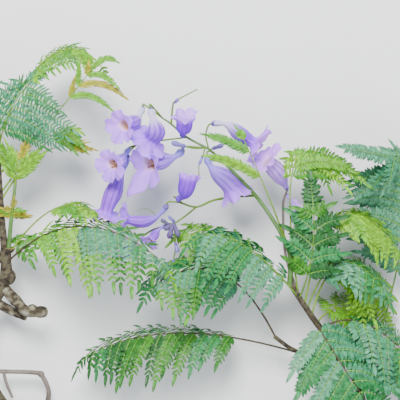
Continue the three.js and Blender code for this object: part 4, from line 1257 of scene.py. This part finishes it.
def leaflet_mesh():
    """A leaflet one unit long, along X from its foot, with sharp edges."""
    points = [Vector((0, 0, 0))]
    for along, half_width in STATIONS:
        sag = -SAG * along * along
        fold = FOLD * half_width
        points += [
            Vector((along, half_width, sag + fold)), Vector((along, 0, sag + RIDGE)),
            Vector((along, -half_width, sag + fold)), Vector((along, 0, sag - RIDGE)),
        ]
    points.append(Vector((1, 0, -SAG)))
    faces = []
    last = len(points) - 1
    for k in range(4):
        n = (k + 1) % 4
        faces.append((0, 1 + k, 1 + n))
        faces.append((last, last - 4 + n, last - 4 + k))
        for i in range(len(STATIONS) - 1):
            a, b = 1 + 4 * i + k, 1 + 4 * i + n
            faces.append((a, a + 4, b + 4, b))
    mesh = plain_mesh("leaflet", points, faces)
    mesh.attributes.new("sharp_edge", "BOOLEAN", "EDGE")
    for edge in mesh.edges:
        low, high = edge.vertices
        edge.use_edge_sharp = low % 4 == high % 4 and not {low, high} & {0, last}
    return mesh


leaflet = add_object("leaflet_pattern", leaflet_mesh())
print("one leaflet has", sum(len(p.vertices) - 2 for p in leaflet.data.polygons), "triangles")

# %% [markdown]
# ## Leaf colours
# Old leaves are blue-green, young ones bright yellow-green and the newest golden. The colours
# are dealt out rib by rib among a few plain finishes, so neighbouring sprays differ as they do
# on the branch, and all the leaflets of one finish become one piece.

# %% Leaf finishes
LEAF_COLOURS = {
    "blue_green": (108, 154, 126), "grey_green": (126, 168, 142),
    "sea_green": (92, 140, 102), "deep_green": (66, 102, 68),
    "mid_green": (98, 140, 66), "fresh_green": (118, 164, 64),
    "lime": (142, 186, 70), "pale_lime": (164, 204, 98),
    "golden": (184, 178, 62), "olive": (148, 146, 52), "moss_green": (80, 122, 50),
}
TONES = {
    "blue": ["blue_green", "grey_green", "sea_green"],
    "deep": ["deep_green", "sea_green", "deep_green", "mid_green"],
    "mid": ["mid_green", "sea_green", "fresh_green"],
    "grey": ["grey_green", "blue_green", "grey_green", "grey_green"],
    "mixed": ["deep_green", "sea_green", "moss_green", "mid_green"],
    "sea": ["blue_green", "sea_green", "blue_green", "grey_green"],
    "shade": ["moss_green", "fresh_green", "mid_green", "lime"],
    "vivid": ["lime", "fresh_green", "lime", "pale_lime"],
    "ripe": ["golden", "lime", "golden", "lime"],
    "lime": ["lime", "fresh_green", "pale_lime"],
    "light": ["pale_lime", "lime", "pale_lime"],
    "fresh": ["lime", "pale_lime", "golden"],
    "gold": ["golden", "olive", "lime"],
}


def leaf_finish(name, colour):
    """A leaf's colour, mottled a little darker and lighter."""
    darker = tuple(0.8 * v for v in colour)
    lighter = tuple(min(255, 1.1 * v) for v in colour)
    stops = [(0.35, darker), (0.65, lighter)]
    return mottled(name, 0.5, 0.35, (300, 2), stops, (2200, 2, 0.2, 0.0002))


leaf_finishes = {name: leaf_finish(f"leaf_{name}", colour) for name, colour in LEAF_COLOURS.items()}
print(len(leaf_finishes), "leaf finishes")

# %% [markdown]
# ## Growing the leaves
# Each leaflet is only a point with a turn and a size until Geometry Nodes puts the pattern
# leaflet on every point, realises the copies and gives them their finish.

# %% Node tree: leaflets on points
leaflet_tree, start, end = new_tree("leaflets", Leaflet="Object", Finish="Material")
pattern, copies, realise, paint = add_nodes(
    leaflet_tree, "ObjectInfo", "InstanceOnPoints", "RealizeInstances", "SetMaterial")
wire(
    leaflet_tree,
    (start, "Leaflet", pattern, "Object"),
    (start, "Geometry", copies, "Points"),
    (pattern, "Geometry", copies, "Instance"),
    (stored(leaflet_tree, "turn", "QUATERNION"), "Attribute", copies, "Rotation"),
    (stored(leaflet_tree, "size", "FLOAT_VECTOR"), "Attribute", copies, "Scale"),
    (copies, "Instances", realise, "Geometry"),
    (realise, "Geometry", paint, "Geometry"),
    (start, "Finish", paint, "Material"),
    (paint, "Geometry", end, "Geometry"),
)
print("the tree", leaflet_tree.name, "has", len(leaflet_tree.nodes), "nodes")


def leaflets(name, entries, finish):
    """One object of many leaflets. An entry is a drawn point, a turn and a size in mm."""
    mesh = bpy.data.meshes.new(name)
    mesh.from_pydata([in_frame(spot) for spot, _, _ in entries], [], [])
    turns = mesh.attributes.new("turn", "QUATERNION", "POINT")
    turns.data.foreach_set("value", [value for _, turn, _ in entries for value in turn])
    sizes = mesh.attributes.new("size", "FLOAT_VECTOR", "POINT")
    sizes.data.foreach_set("vector", [value * MM for _, _, size in entries for value in size])
    return run_tree(name, mesh, leaflet_tree, {"Leaflet": leaflet, "Finish": finish.material})


# %% Grow every leaf
BRIGHT = ("lime", "light", "gold", "fresh", "vivid", "ripe")
THREAD_STEP = 4  # mm from point to point of a stalk or rib
STALK_RADII, RIB_RADII = (0.85, 0.35), (0.46, 0.18)
LEAF_SEED, SEED_STEP = 101, 37
beds = {name: [] for name in LEAF_COLOURS}
stalks = {"green": [], "dark": [], "lime": []}
ribs_drawn = {"pale": [], "lime": []}
for index, leaf in enumerate(LEAVES):
    draw = random.Random(LEAF_SEED + SEED_STEP * index)
    bright = leaf["tone"] in BRIGHT
    stalk, ribs = leaf_ribs(leaf, draw)
    kind = "dark" if leaf["dark"] else "lime" if bright else "green"
    stalks[kind].append(sampled(stalk, THREAD_STEP, *STALK_RADII))
    for rib in ribs:
        dealt = {tone: draw.choice(names) for tone, names in TONES.items()}

        def place(tone, spot, turn, size):
            beds[dealt[tone]].append((spot, turn, size))

        path = grow_rib(leaf, rib, draw, place)
        ribs_drawn["lime" if bright else "pale"].append(sampled(path, THREAD_STEP, *RIB_RADII))

for name, entries in beds.items():
    piece = leaflets(f"leaflets_{name}", entries, leaf_finishes[name])
    if name == "blue_green":
        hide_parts(*[leaf["name"] for leaf in LEAVES])
    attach(piece, "root")
    triangles = sum(len(p.vertices) - 2 for p in piece.data.polygons)
    print(piece.name, len(entries), "leaflets,", triangles, "triangles")

# %% Leaf stalks and ribs
THREAD_COLOURS = {
    "green": [(0.35, (104, 134, 84)), (0.65, (142, 168, 112))],
    "dark": [(0.35, (52, 44, 38)), (0.65, (88, 78, 58))],
    "lime": [(0.35, (132, 160, 84)), (0.65, (160, 186, 112))],
    "pale": [(0.35, (128, 168, 104)), (0.65, (164, 198, 138))],
}

for group, label, sides in ((stalks, "leaf_stalks", 7), (ribs_drawn, "leaf_ribs", 5)):
    for kind, rows in group.items():
        name = f"{label}_{kind}"
        finish = mottled(name, 0.55, 0.35, (200, 2), THREAD_COLOURS[kind], (1500, 2, 0.2, 0.0002))
        piece = threads(name, rows, sides, finish)
        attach(piece, "root")
        print(piece.name, len(rows), "threads")
bpy.data.objects.remove(leaflet)
